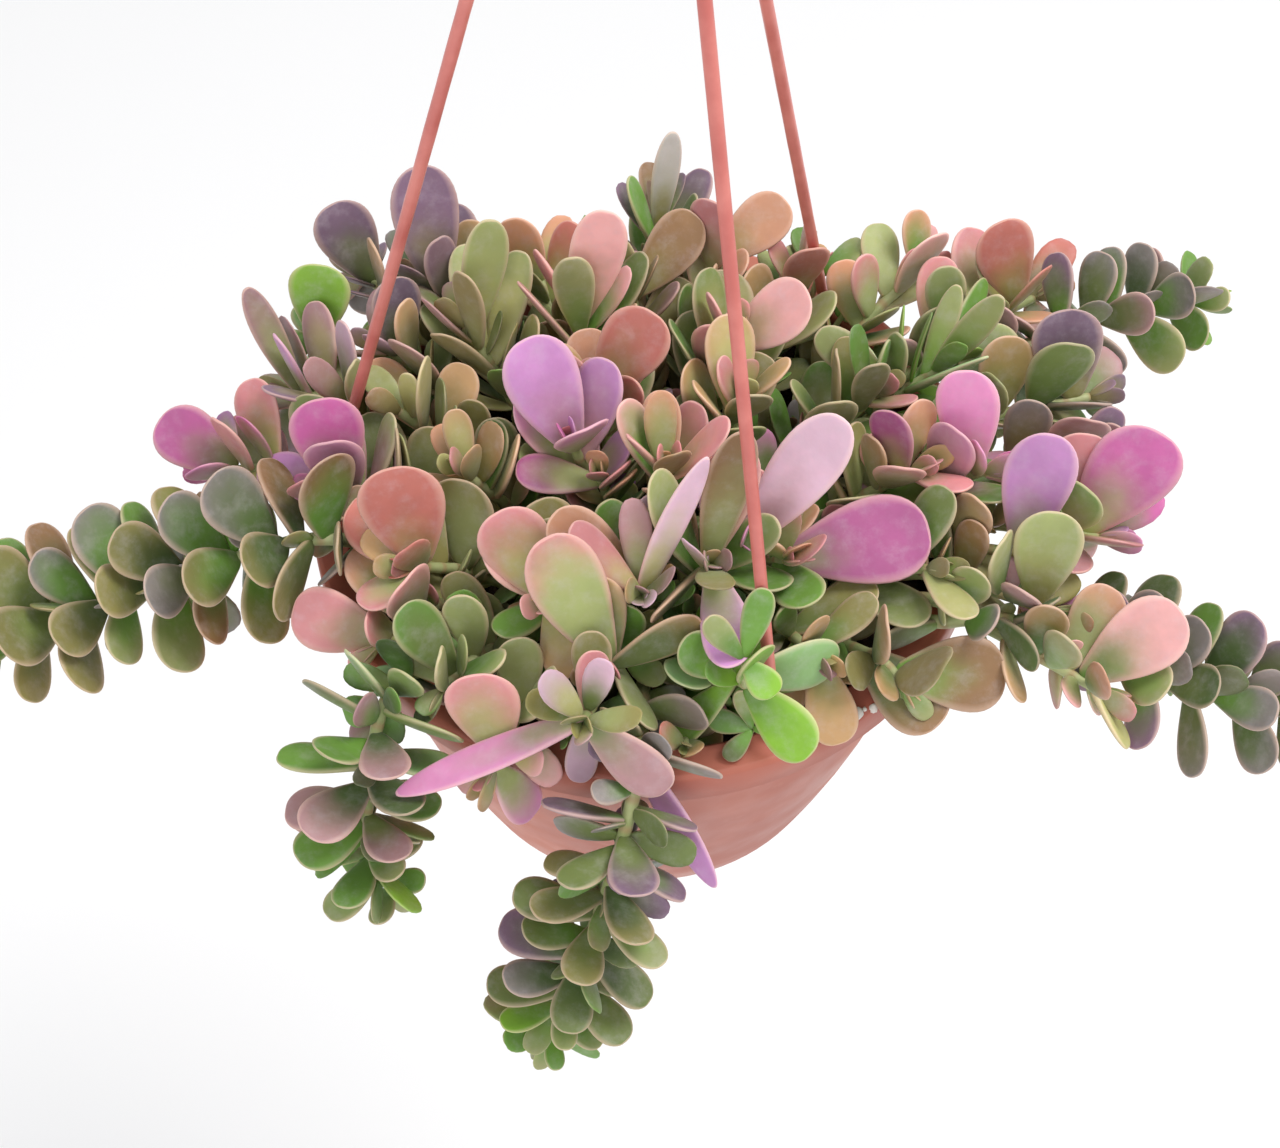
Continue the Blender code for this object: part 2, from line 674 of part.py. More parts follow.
def trailing_leaf(draw, tangent, k, share, length, width, facing):
    """A leaf of a trailing stem: it stands off the stem, tilted along it like a shingle."""
    lift = square_to(Vector((0, -0.3, 1)), tangent)
    lean = TRAIL_LEANS[k % len(TRAIL_LEANS)]
    turn = math.radians(lean + draw.uniform(-TRAIL_STRAY, TRAIL_STRAY))
    out = lift * math.cos(turn) + lift.cross(tangent) * math.sin(turn)
    along = (out + tangent * draw.uniform(0.1, 0.45) + LIGHT * draw.uniform(0.0, 0.35)).normalized()
    show = facing * (1.0 if abs(lean) < FLANK_LEAN else FLANK_SHOW)
    face = square_to(VIEW * show - tangent * (1.0 - 0.4 * show) + lift * draw.uniform(-0.3, 0.3), along)
    size = (1.0 - 0.45 * max(share - 0.8, 0.0) / 0.2) * draw.uniform(0.82, 1.06)
    return along, face, length * size, width * size * draw.uniform(0.88, 1.10), draw.uniform(0.0, 0.12)


def ways_to_bend(draw):
    """Swing, rise, roll and size for each try: as wanted first, then bent further and made smaller."""
    yield 0.0, 0.0, 0.0, 1.0
    for k in range(1, BEND_TRIES):
        far = k / BEND_TRIES
        yield (draw.uniform(-SWING, SWING) * far, draw.uniform(*RISE) * far,
               draw.uniform(-ROLL, ROLL) * far, 1.0 - SHRINK * far)


def fitted(stem, root, base, tangent, wanted, room):
    """The leaf as wanted, or bent clear and made smaller until it has room; None if it never has."""
    along, face, length, width, bend = wanted
    bare_stem = stem_solid(stem.rings)
    outward = (root[1] - root[0]).cross(root[2] - root[0]).normalized()
    for swing, rise, roll, size in ways_to_bend(stem.draw):
        way = turned_about(along, Vector((0, 0, 1)), swing)
        way = (way + tangent * rise).normalized()
        if way.dot(outward) < OUTWARD_MIN:
            way = (way + outward * (OUTWARD_MIN - way.dot(outward)) * PUSH).normalized()
        front = turned_about(square_to(face, way), way, roll)
        leaf = (base, way, front, length * size, width * size, bend)
        rings = blade_rings(leaf)
        if min((corner - root[0]).dot(outward) for corner in rings[0]) < BLADE_RISE:
            continue
        solid = blade_solid(root, rings)
        if crosses_stem(bare_stem, root, solid):
            continue
        if room.clear(stem.name, blade_solid(root, blade_rings(leaf, CLEAR)),
                      blade_solid(root, blade_rings(leaf, CLEAR_OWN))):
            room.add(stem.name, "blade", *solid)
            return leaf
    return None


class Stem:
    """A stem with the leaves that it is meant to bear, and those that found room."""

    def __init__(self, seed, name, points, length, width, count, tone, facing=None):
        self.name = name
        self.tone = tone
        self.draw = random.Random(seed)
        self.size = (length * MM, width * MM)
        self.leads = LEADS.get(name, ())
        self.count = count
        self.trailing = facing is not None
        self.facing = facing
        leafy_from = TRAILING_LEAFY if self.trailing else UPRIGHT_LEAFY
        stagger = ROOT_STAGGER[seed % len(ROOT_STAGGER)]
        self.route = stem_route([over_rim(*p) for p in points], leafy_from, math.ceil(count / 2), stagger)
        starts = [self.draw.uniform(0.0, math.tau) for trial in range(START_TRIES)]
        self.rings = max((stem_rings(self.route, start) for start in starts), key=self.suits_lead)
        self.grown = []

    def suits_lead(self, rings):
        """How squarely side 0 of the top step of some rings faces the first lead leaf's way."""
        if not self.leads:
            return 0.0
        self.rings = rings
        return self.outward(len(rings) - 2, 0).dot(lead_leaf(0, *self.leads[0])[0])

    def facet(self, step, side):
        """The three corners that a leaf grows from on one side of a step."""
        n = (side + 1) % STEM_SIDES
        return [self.rings[step][side], self.rings[step][n], self.rings[step + 1][n]]

    def set_by_hand(self, k):
        """Whether leaf k is one that was set by hand."""
        return k < len(self.leads) or (self.name, k) in HANGING

    def wanted(self, k, step, side, tangent):
        """How leaf k is meant to stand."""
        share = 1.0 - k / self.count
        if k < len(self.leads):
            return lead_leaf(k, *self.leads[k])
        if (self.name, k) in HANGING:
            return lead_leaf(0, *HANGING[self.name, k])
        if self.trailing:
            return trailing_leaf(self.draw, tangent, k, share, *self.size, self.facing)
        return upright_leaf(self.draw, self.outward(step, side), tangent, share, *self.size)

    def grow(self, k, room):
        """Grow leaf k, counted from the tip: two to a step, on the sides that face their ways best."""
        step = len(self.route) - 2 - k // 2
        side = (2 * (k // 2) + 3 * (k % 2)) % STEM_SIDES
        tangent = (self.route[step + 1] - self.route[step]).normalized()
        wanted = self.wanted(k, step, side, tangent)
        if self.trailing:
            used = [other for there, other, leaf in self.grown if there == step]
            free = [other for other in range(STEM_SIDES) if other not in used]
            side = max(free, key=lambda other: self.outward(step, other).dot(wanted[0]))
        base = self.route[step].lerp(self.route[step + 1], PAIR_SPOTS[k % 2])
        leaf = fitted(self, self.facet(step, side), base, tangent, wanted, room)
        if leaf:
            self.grown.append((step, side, leaf))

    def outward(self, step, side):
        """The way that one side of a step faces."""
        root = self.facet(step, side)
        return (root[1] - root[0]).cross(root[2] - root[0]).normalized()

    def build(self, material):
        """One closed mesh: the stem, with each blade raised from the facet that it grows on."""
        bm = bmesh.new()
        verts = [[bm.verts.new(corner) for corner in ring] for ring in self.rings]
        flat = [vert for ring in verts for vert in ring]
        taken = {(step, side): leaf for step, side, leaf in self.grown}
        for step in range(len(self.rings) - 1):
            for side in range(STEM_SIDES):
                first, second = side_faces(step, side)
                bm.faces.new([flat[i] for i in second])
                if (step, side) not in taken:
                    bm.faces.new([flat[i] for i in first])
                    continue
                corners, faces = blade_solid(self.facet(step, side), blade_rings(taken[step, side]))
                root = {tuple(flat[i].co): flat[i] for i in first}
                blade = [root[tuple(Vector(c))] for c in corners[:3]]
                blade += [bm.verts.new(c) for c in corners[3:]]
                for face in faces:
                    bm.faces.new([blade[i] for i in face])
        bm.faces.new(verts[0][::-1])
        bm.faces.new(verts[-1])
        return add_object("stem_" + self.name, bm, material)


def plan_stems():
    """Every stem, upright and trailing."""
    stems = []
    for name, tip, length, width, count, tone in UPRIGHT:
        stems.append(Stem(len(stems), name, [tip], length, width, count, tone))
    for name, points, length, width, count, tone, facing in TRAILING:
        stems.append(Stem(len(stems), name, points, length, width, count, tone, facing))
    return stems


def grow_leaves(stems, solids):
    """Grow the leaves set by hand, then the rest from the tips down, a round at a time over all stems."""
    room = Room()
    for body in solids:
        corners = [v.co.copy() for v in body.data.vertices]
        room.add(body.name, "solid", corners, [tuple(p.vertices) for p in body.data.polygons])
    for stem in stems:
        room.add(stem.name, "stem", *stem_solid(stem.rings))
    most = max(stem.count for stem in stems)
    turns = [(stem, k) for k in range(most) for stem in stems if k < stem.count]
    for stem, k in sorted(turns, key=lambda turn: turn[0].set_by_hand(turn[1]), reverse=True):
        stem.grow(k, room)


def main():
    """Build the pot, its hanger, the soil and every leafy stem."""
    clear_file()
    clay = plain_material("pot_plastic", (0.56, 0.23, 0.16), 0.5)
    pink = plain_material("hanger_plastic", (0.62, 0.20, 0.16), 0.45)
    earth = plain_material("soil", (0.05, 0.035, 0.025), 0.95)
    tones = {tone: plain_material("leaf_" + tone, colour, 0.5) for tone, colour in TONES.items()}
    pot = build_pot(clay)
    hook = build_hook(pink)
    strands = []
    for side, angle in zip(("front", "back", "left"), STRAND_ANGLES):
        strands.append(build_strand("strand_" + side, angle, pink))
    stems = plan_stems()
    soil = build_soil(earth, stems)
    grow_leaves(stems, [pot, hook, soil] + strands)
    for stem in stems:
        stem.build(tones[stem.tone])
    print("leaves", sum(len(stem.grown) for stem in stems), "of", sum(stem.count for stem in stems))


main()
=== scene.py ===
# %% [markdown]
# # A senecio in its hanging pot
#
# The plant is a trailing succulent: thick, flat, spoon-shaped leaves, green at the foot and pink or
# violet where the sun reaches them, on pale stems that rise out of a round plastic pot and hang over
# its lip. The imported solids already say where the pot, the strands and every leaf are. This script
# dresses them: it reads each leaf off its solid and puts a finer, rounded leaf in its place.

# %% Load the frame
import json
import math
import random

import bmesh
import bpy
from mathutils import Matrix, Vector
from mathutils.bvhtree import BVHTree
from mathutils.kdtree import KDTree


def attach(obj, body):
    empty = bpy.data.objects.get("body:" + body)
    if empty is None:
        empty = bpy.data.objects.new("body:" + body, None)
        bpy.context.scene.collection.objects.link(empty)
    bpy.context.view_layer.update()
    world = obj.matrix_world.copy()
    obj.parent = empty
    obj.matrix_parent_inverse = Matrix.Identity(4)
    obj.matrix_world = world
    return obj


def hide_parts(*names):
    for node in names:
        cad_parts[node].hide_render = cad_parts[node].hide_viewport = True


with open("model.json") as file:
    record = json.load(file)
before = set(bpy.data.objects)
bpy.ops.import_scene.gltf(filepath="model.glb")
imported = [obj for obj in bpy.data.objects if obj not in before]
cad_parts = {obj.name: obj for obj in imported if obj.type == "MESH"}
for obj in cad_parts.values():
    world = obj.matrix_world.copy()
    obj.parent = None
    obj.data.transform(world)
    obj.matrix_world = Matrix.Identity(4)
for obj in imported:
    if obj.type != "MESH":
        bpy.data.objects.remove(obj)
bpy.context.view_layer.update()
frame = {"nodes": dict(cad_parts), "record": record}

MM = 0.001
UP = Vector((0, 0, 1))


def place(name, data):
    """A new object with the data, linked to the scene."""
    thing = bpy.data.objects.new(name, data)
    bpy.context.scene.collection.objects.link(thing)
    return thing


def mesh_of(name, bm):
    """The mesh that a bmesh describes; the bmesh is freed."""
    mesh = bpy.data.meshes.new(name)
    bm.to_mesh(mesh)
    bm.free()
    return mesh


# %% [markdown]
# ## Camera
#
# The pot hangs below eye level, so the camera looks steeply down on it. A real camera at this distance
# makes the near leaves larger than the far ones, so the distance matters as much as the angle.

# %% Place the camera
TARGET = Vector((-0.0023, 0.0, -0.4582))
LOOK_DOWN = math.radians(56)
ROLL = math.radians(-0.4)
DISTANCE = 0.802
FOCAL_PX = 2200
FRAME_PX = 1280
SENSOR = 36


def place_camera():
    """A camera that looks at the target from the front and above, with a slight roll."""
    back = Vector((0, -math.cos(LOOK_DOWN), math.sin(LOOK_DOWN)))
    flat = Vector((1, 0, 0))
    rise = back.cross(flat)
    right = flat * math.cos(ROLL) + rise * math.sin(ROLL)
    high = rise * math.cos(ROLL) - flat * math.sin(ROLL)
    data = bpy.data.cameras.new("camera")
    data.sensor_width = SENSOR
    data.lens = FOCAL_PX / FRAME_PX * SENSOR
    camera = place("camera", data)
    turn = Matrix((right, high, back)).transposed().to_4x4()
    camera.matrix_world = Matrix.Translation(TARGET + back * DISTANCE) @ turn
    bpy.context.scene.camera = camera
    return camera


camera = place_camera()
print("lens in mm", round(camera.data.lens, 1))

# %% [markdown]
# ## Floor and light
#
# The pot hangs in bright, even daylight from above, with a little more of it from the right. A pale
# floor well below the pot stays plain, and two large soft lights give the leaves their gentle shading.

# %% Build the floor and the lights
FLOOR_Z = -1.1
FLOOR_SIZE = 30
FLOOR_PALE = (0.93, 0.93, 0.93, 1)
LAMPS = (
    ("key", (0.9, 0.2, 1.3), 0.9, 26, (1.0, 0.98, 0.95)),
    ("front", (-0.5, -1.5, 0.6), 1.2, 9, (1.0, 1.0, 1.0)),
)
SKY = (0.97, 0.98, 1.0, 1)
SKY_STRENGTH = 0.76


def build_floor():
    """A plain pale floor, not part of the object."""
    bm = bmesh.new()
    bmesh.ops.create_grid(bm, x_segments=1, y_segments=1, size=FLOOR_SIZE)
    bmesh.ops.translate(bm, verts=bm.verts, vec=(0, 0, FLOOR_Z))
    floor = place("floor", mesh_of("floor", bm))
    pale = bpy.data.materials.new("floor_pale")
    pale.use_nodes = True
    shader = pale.node_tree.nodes["Principled BSDF"]
    shader.inputs["Base Color"].default_value = FLOOR_PALE
    shader.inputs["Roughness"].default_value = 0.9
    floor.data.materials.append(pale)


def add_area(name, spot, size, power, colour):
    """A square soft light that faces the pot."""
    data = bpy.data.lights.new(name, "AREA")
    data.size = size
    data.energy = power
    data.color = colour
    lamp = place(name, data)
    lamp.location = spot
    lamp.rotation_euler = (Vector(spot) - TARGET).to_track_quat("Z", "Y").to_euler()


def light_sky():
    """Even white light from all round."""
    world = bpy.data.worlds.new("sky")
    bpy.context.scene.world = world
    world.use_nodes = True
    sky = world.node_tree.nodes["Background"]
    sky.inputs["Color"].default_value = SKY
    sky.inputs["Strength"].default_value = SKY_STRENGTH


build_floor()
for lamp in LAMPS:
    add_area(*lamp)
light_sky()
bpy.context.scene.view_settings.view_transform = "Standard"

# %% [markdown]
# ## Helpers
#
# Every finished piece is one mesh at the origin. Colours are picked as a painter would, in the values
# of a screen, and turned into the linear values that the shader works with.

# %% Make pieces, colours and nodes


def screen(red, green, blue):
    """A screen colour, 0 to 255, as linear values."""
    def linear(value):
        share = value / 255
        return share / 12.92 if share <= 0.04045 else ((share + 0.055) / 1.055) ** 2.4
    return (linear(red), linear(green), linear(blue), 1.0)


def finish_piece(name, bm, materials, nodes, rounds=0):
    """Turn a bmesh into a smooth piece that stands for some nodes."""
    bmesh.ops.recalc_face_normals(bm, faces=bm.faces)
    mesh = mesh_of(name, bm)
    for face in mesh.polygons:
        face.use_smooth = True
    for material in materials:
        mesh.materials.append(material)
    piece = place(name, mesh)
    if rounds:
        smooth = piece.modifiers.new("smooth", "SUBSURF")
        smooth.levels = rounds
        smooth.render_levels = rounds
    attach(piece, "root")
    if nodes:
        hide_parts(*nodes)
    return piece


class Board:
    """A node tree with short ways to add and join its nodes."""

    def __init__(self, name):
        self.material = bpy.data.materials.new(name)
        self.material.use_nodes = True
        self.nodes = self.material.node_tree.nodes
        self.links = self.material.node_tree.links
        self.shader = self.nodes["Principled BSDF"]

    def put(self, socket, value):
        """Give a socket a value, or join another node's output to it."""
        if isinstance(value, bpy.types.NodeSocket):
            self.links.new(value, socket)
        else:
            socket.default_value = value

    def attribute(self, name, kind="Fac"):
        """A number or a colour that the mesh carries at each point."""
        node = self.nodes.new("ShaderNodeAttribute")
        node.attribute_name = name
        return node.outputs[kind]

    def math(self, kind, first, second):
        """Two numbers joined by a Math node."""
        node = self.nodes.new("ShaderNodeMath")
        node.operation = kind
        self.put(node.inputs[0], first)
        self.put(node.inputs[1], second)
        return node.outputs[0]

    def noise(self, scale, detail=3.0, rough=0.5):
        """Cloudy noise fixed to the object."""
        where = self.nodes.new("ShaderNodeTexCoord")
        node = self.nodes.new("ShaderNodeTexNoise")
        self.links.new(where.outputs["Object"], node.inputs["Vector"])
        node.inputs["Scale"].default_value = scale
        node.inputs["Detail"].default_value = detail
        node.inputs["Roughness"].default_value = rough
        return node.outputs["Fac"]

    def band(self, value, low, high, to_low=0.0, to_high=1.0):
        """A smooth step of a value between two limits."""
        node = self.nodes.new("ShaderNodeMapRange")
        node.interpolation_type = "SMOOTHSTEP"
        for socket, wanted in zip(list(node.inputs)[:5], (value, low, high, to_low, to_high)):
            self.put(socket, wanted)
        return node.outputs["Result"]

    def mix(self, share, first, second):
        """Two colours mixed by a share."""
        node = self.nodes.new("ShaderNodeMix")
        node.data_type = "RGBA"
        self.put(node.inputs["Factor"], share)
        self.put(node.inputs["A"], first)
        self.put(node.inputs["B"], second)
        return node.outputs["Result"]

    def brighten(self, colour, value, saturation=1.0):
        """A colour made lighter or darker by a number."""
        node = self.nodes.new("ShaderNodeHueSaturation")
        self.put(node.inputs["Color"], colour)
        self.put(node.inputs["Value"], value)
        self.put(node.inputs["Saturation"], saturation)
        return node.outputs["Color"]

    def coat(self, colour, rough):
        """The shader's colour and roughness."""
        self.put(self.shader.inputs["Base Color"], colour)
        self.put(self.shader.inputs["Roughness"], rough)

    def relief(self, height, strength, distance):
        """A bump, joined to the shader's normal after any earlier one."""
        node = self.nodes.new("ShaderNodeBump")
        node.inputs["Strength"].default_value = strength
        node.inputs["Distance"].default_value = distance
        self.put(node.inputs["Height"], height)
        normal = self.shader.inputs["Normal"]
        if normal.links:
            self.links.new(normal.links[0].from_socket, node.inputs["Normal"])
        self.links.new(node.outputs["Normal"], normal)


print("linear mid grey", round(screen(128, 128, 128)[0], 3))

# %% [markdown]
# ## Plastic
#
# The pot is thin moulded plastic, terracotta pink, satin rather than shiny. Sun and handling leave it
# slightly cloudy, with a faint chalky bloom and darker cloudy patches all over it. The strands are
# of the same plastic, a little redder and glossier.

# %% Mix the plastics
POT_PINK = screen(200, 120, 99)
POT_DULL = screen(176, 99, 82)
POT_CHALK = screen(222, 178, 164)
STRAND_PINK = screen(222, 134, 124)
STRAND_DEEP = screen(200, 108, 100)


def pot_plastic():
    """Satin plastic with cloudy wear and a faint chalky bloom."""
    board = Board("pot_satin")
    cloud = board.band(board.noise(14, 4), 0.35, 0.68)
    chalk = board.band(board.noise(70, 6, 0.65), 0.58, 0.80, 0.0, 0.14)
    colour = board.mix(cloud, POT_DULL, POT_PINK)
    board.coat(board.mix(chalk, colour, POT_CHALK), board.band(board.noise(40), 0.3, 0.7, 0.40, 0.58))
    board.relief(board.noise(900, 2), 0.12, 0.0003)
    board.relief(board.noise(30, 2), 0.15, 0.002)
    return board.material


def strand_plastic():
    """Smooth moulded plastic with a slight flow pattern."""
    board = Board("strand_satin")
    cloud = board.band(board.noise(60, 4), 0.3, 0.7)
    colour = board.mix(cloud, STRAND_DEEP, STRAND_PINK)
    board.coat(colour, board.band(board.noise(120), 0.3, 0.7, 0.30, 0.46))
    board.relief(board.noise(500, 3), 0.2, 0.0003)
    return board.material


pot_satin = pot_plastic()
strand_satin = strand_plastic()
print("plastics", pot_satin.name, strand_satin.name)

# %% [markdown]
# ## The pot
#
# The pot was moulded as a thin shell: a bowl whose wall rolls out into a flat lip with a short skirt.
# One section is drawn as a chain of points and spun round the axis. The strand holes in the lip and the
# drain holes in the foot are small, so they are cut afterwards with plugs.

# %% Spin the pot
RIM_Z = -405 * MM
RIM_R = 115 * MM
LIP_WIDTH = 12 * MM
LIP_DROP = 14 * MM
SKIRT = 1.6 * MM
WALL = 2.2 * MM
POT_DEPTH = 155 * MM
FOOT_R = 74 * MM
FOOT_ROUND = 5 * MM
WALL_BULGE = 1.6
POT_STEPS = 96
DRAIN_RING_R = 45 * MM
DRAIN_R = 4 * MM
DRAINS = 4
LEVEL = 0.9999
WALL_STATIONS = (0.97, 0.90, 0.82, 0.70, 0.58, 0.44, 0.30, 0.16)
PLUG_SIDES = 16
LIP_PLUG = 12 * MM
FOOT_PLUG = 10 * MM


def wall_radius(depth):
    """Outer radius of the bowl at a depth under the lip."""
    share = depth / POT_DEPTH
    return FOOT_R + (RIM_R - LIP_WIDTH + WALL - FOOT_R) * (1 - share ** WALL_BULGE)


def pot_section():
    """Radius and depth of each point of the pot's section, from the foot up and back down inside."""
    depths = [POT_DEPTH * share for share in WALL_STATIONS]
    outside = [(0, POT_DEPTH), (FOOT_R - 2 * FOOT_ROUND, POT_DEPTH), (FOOT_R - FOOT_ROUND, POT_DEPTH)]
    outside += [(wall_radius(depth), depth) for depth in depths]
    lip = [
        (RIM_R - LIP_WIDTH + WALL, 2.4 * WALL), (RIM_R - LIP_WIDTH + 1.4 * WALL, WALL),
        (RIM_R - SKIRT - 0.6 * WALL, WALL), (RIM_R - SKIRT, 1.5 * WALL), (RIM_R - SKIRT, LIP_DROP),
        (RIM_R - 0.3 * SKIRT, LIP_DROP), (RIM_R, LIP_DROP - 0.4 * SKIRT), (RIM_R, 0.8 * WALL),
        (RIM_R - 0.3 * WALL, 0.25 * WALL), (RIM_R - 0.9 * WALL, 0), (RIM_R - LIP_WIDTH + 0.5 * WALL, 0),
        (RIM_R - LIP_WIDTH, 0.4 * WALL), (RIM_R - LIP_WIDTH - 0.1 * WALL, 1.4 * WALL),
    ]
    inside = [(wall_radius(depth) - WALL, depth) for depth in reversed(depths[1:])]
    return outside + lip + inside + [(FOOT_R - 2 * FOOT_ROUND, POT_DEPTH - WALL), (0, POT_DEPTH - WALL)]


def spun(section, steps, height):
    """A chain of (radius, depth) points under a height, spun full circle round the axis."""
    bm = bmesh.new()
    chain = [bm.verts.new((radius, 0, height - depth)) for radius, depth in section]
    for low, high in zip(chain, chain[1:]):
        bm.edges.new((low, high))
    bmesh.ops.spin(bm, geom=bm.verts[:] + bm.edges[:], axis=UP, cent=(0, 0, 0), angle=math.tau,
                   steps=steps, use_merge=True)
    bmesh.ops.remove_doubles(bm, verts=bm.verts, dist=0.01 * MM)
    return bm


def plug(spot, way, radius, length):
    """A plug that cuts a round hole along a direction."""
    bm = bmesh.new()
    bmesh.ops.create_cone(bm, cap_ends=True, segments=PLUG_SIDES, radius1=radius, radius2=radius,
                          depth=length)
    turn = UP.rotation_difference(way).to_matrix().to_4x4()
    bmesh.ops.transform(bm, matrix=Matrix.Translation(spot) @ turn, verts=bm.verts)
    return place("plug", mesh_of("plug", bm))


def cut(piece, cutters):
    """Cut plugs out of a piece and take them away; its level faces are then shaded flat."""
    for cutter in cutters:
        step = piece.modifiers.new("cut", "BOOLEAN")
        step.operation = "DIFFERENCE"
        step.solver = "EXACT"
        step.object = cutter
    graph = bpy.context.evaluated_depsgraph_get()
    made = bpy.data.meshes.new_from_object(piece.evaluated_get(graph))
    piece.modifiers.clear()
    for face in made.polygons:
        face.use_smooth = abs(face.normal.z) < LEVEL
    piece.data = made
    for cutter in cutters:
        bpy.data.objects.remove(cutter, do_unlink=True)


HOLE_R = 107.4 * MM
CROWN_HOLE_R = 8 * MM
CROWN_Z = -52 * MM
CROWN_H = 4 * MM
CROWN_R = 13 * MM
STRAND_R = 2.0 * MM
HOLE_SLACK = 0.6 * MM
STRAND_ANGLES = {"strand_front": 22.3, "strand_back": 142.3, "strand_left": 262.3}


def strand_run(angle):
    """A strand's hole in the lip, its hole in the crown, and the way from one to the other."""
    turn = math.radians(angle)
    out = Vector((math.sin(turn), -math.cos(turn), 0))
    foot, head = out * HOLE_R + UP * RIM_Z, out * CROWN_HOLE_R + UP * CROWN_Z
    return foot, head, (head - foot).normalized()


pot = finish_piece("pot_shell", spun(pot_section(), POT_STEPS, RIM_Z), [pot_satin], ["pot"])
plugs = []
for angle in STRAND_ANGLES.values():
    foot, head, way = strand_run(angle)
    plugs.append(plug(foot, way, STRAND_R + HOLE_SLACK, LIP_PLUG))
for k in range(DRAINS):
    turn = math.tau * (k + 0.5) / DRAINS
    spot = Vector((DRAIN_RING_R * math.cos(turn), DRAIN_RING_R * math.sin(turn), RIM_Z - POT_DEPTH))
    plugs.append(plug(spot, UP, DRAIN_R, FOOT_PLUG))
cut(pot, plugs)
print("pot faces", len(pot.data.polygons))

# %% [markdown]
# ## Strands, crown and hook
#
# The hanger is moulded too. Each strand is a round rod with a bead at each end, one under the lip and
# one on the crown. A rod starts as a circle that is extruded and moved on, again and again, and the hook
# is the same circle swept round its bend.

# %% Sweep rods
ROD_SIDES = 20


def sweep_into(bm, path, radii, sides):
    """A rod along a path: a circle extruded from point to point, closed at both ends."""
    made = bmesh.ops.create_circle(bm, segments=sides, radius=1.0, cap_ends=False)
    ring = made["verts"]
    edges = list({edge for vert in ring for edge in vert.link_edges})
    ends = list(edges)
    side = (path[1] - path[0]).orthogonal().normalized()
    last = Matrix.Identity(4)
    for k, (point, radius) in enumerate(zip(path, radii)):
        way = (path[min(k + 1, len(path) - 1)] - path[max(k - 1, 0)]).normalized()
        side = (side - way * side.dot(way)).normalized()
        if k:
            made = bmesh.ops.extrude_edge_only(bm, edges=edges)["geom"]
            ring = [thing for thing in made if isinstance(thing, bmesh.types.BMVert)]
            edges = [thing for thing in made if isinstance(thing, bmesh.types.BMEdge)]
            edges = [edge for edge in edges if all(vert in ring for vert in edge.verts)]
        turn = Matrix((side, way.cross(side), way)).transposed().to_4x4()
        here = Matrix.Translation(point) @ turn @ Matrix.Scale(radius, 4)
        bmesh.ops.transform(bm, matrix=here @ last.inverted(), verts=ring)
        last = here
    bmesh.ops.holes_fill(bm, edges=ends + edges, sides=0)


def swept(path, radii):
    """A plastic rod on its own."""
    bm = bmesh.new()
    sweep_into(bm, path, radii, ROD_SIDES)
    return bm


BEAD_R = 2.9 * MM
BEAD_H = 2.4 * MM
BEAD_GAP = 0.3 * MM
BEAD = ((0.0, 0.6), (0.08, 0.88), (0.3, 1.0), (0.7, 1.0), (0.92, 0.88), (1.0, 0.72))
ROD_STEPS = 24
UNEVEN = 0.02


def build_strand(name, angle):
    """A rod with a rounded bead at each end."""
    foot, head, way = strand_run(angle)
    lean = BEAD_R * math.sqrt(1 - way.z ** 2) + BEAD_GAP
    low = foot - way * (WALL + lean) / way.z
    high = head + way * (CROWN_H + lean) / way.z
    path = [low - way * BEAD_H * (1 - share) for share, size in BEAD]
    radii = [BEAD_R * size for share, size in BEAD]
    for k in range(ROD_STEPS + 1):
        path.append(low.lerp(high, (k + 0.1) / (ROD_STEPS + 0.2)))
        radii.append(STRAND_R * (1 + UNEVEN * math.sin(3.1 * k + angle)))
    path += [high + way * BEAD_H * share for share, size in BEAD]
    radii += [BEAD_R * size for share, size in reversed(BEAD)]
    return finish_piece(name + "_rod", swept(path, radii), [strand_satin], [name])


for name, angle in STRAND_ANGLES.items():
    build_strand(name, angle)

HOOK_WIRE_R = 2.5 * MM
HOOK_BEND_R = 14.5 * MM
HOOK_SWEEP = 290
HOOK_STEPS = 40
HOOK_STALK = (1, 8, 14)
HOOK_TIP = (0.98, 0.9, 0.6)
CROWN_STEPS = 48
CROWN_EDGE = 0.8 * MM
CROWN_PLUG = 14 * MM


def build_hook():
    """The crown disc and the open hook on it, with three holes for the strands."""
    section = [
        (0, CROWN_H), (CROWN_R - CROWN_EDGE, CROWN_H), (CROWN_R, CROWN_H - CROWN_EDGE),
        (CROWN_R, CROWN_EDGE), (CROWN_R - CROWN_EDGE, 0), (4.5 * MM, 0), (3.2 * MM, -1.5 * MM),
        (0, -1.5 * MM),
    ]
    disc = spun(section, CROWN_STEPS, CROWN_Z + CROWN_H)
    crown = finish_piece("hanger_hook", disc, [strand_satin], ["hook"])
    centre_z = HOOK_WIRE_R - HOOK_BEND_R
    path = [UP * (CROWN_Z + height * MM) for height in HOOK_STALK]
    for k in range(HOOK_STEPS + 1):
        turn = math.radians(HOOK_SWEEP * k / HOOK_STEPS - 90)
        path.append(Vector((HOOK_BEND_R * math.cos(turn), 0, centre_z + HOOK_BEND_R * math.sin(turn))))
    radii = [HOOK_WIRE_R] * (len(path) - len(HOOK_TIP)) + [HOOK_WIRE_R * size for size in HOOK_TIP]
    finish_piece("hanger_wire", swept(path, radii), [strand_satin], [])
    plugs = []
    for angle in STRAND_ANGLES.values():
        foot, head, way = strand_run(angle)
        plugs.append(plug(head + way * CROWN_H / 2, way, STRAND_R + HOLE_SLACK, CROWN_PLUG))
    cut(crown, plugs)


build_hook()
print("hook bend inside radius in mm", round((HOOK_BEND_R - HOOK_WIRE_R) / MM, 1))

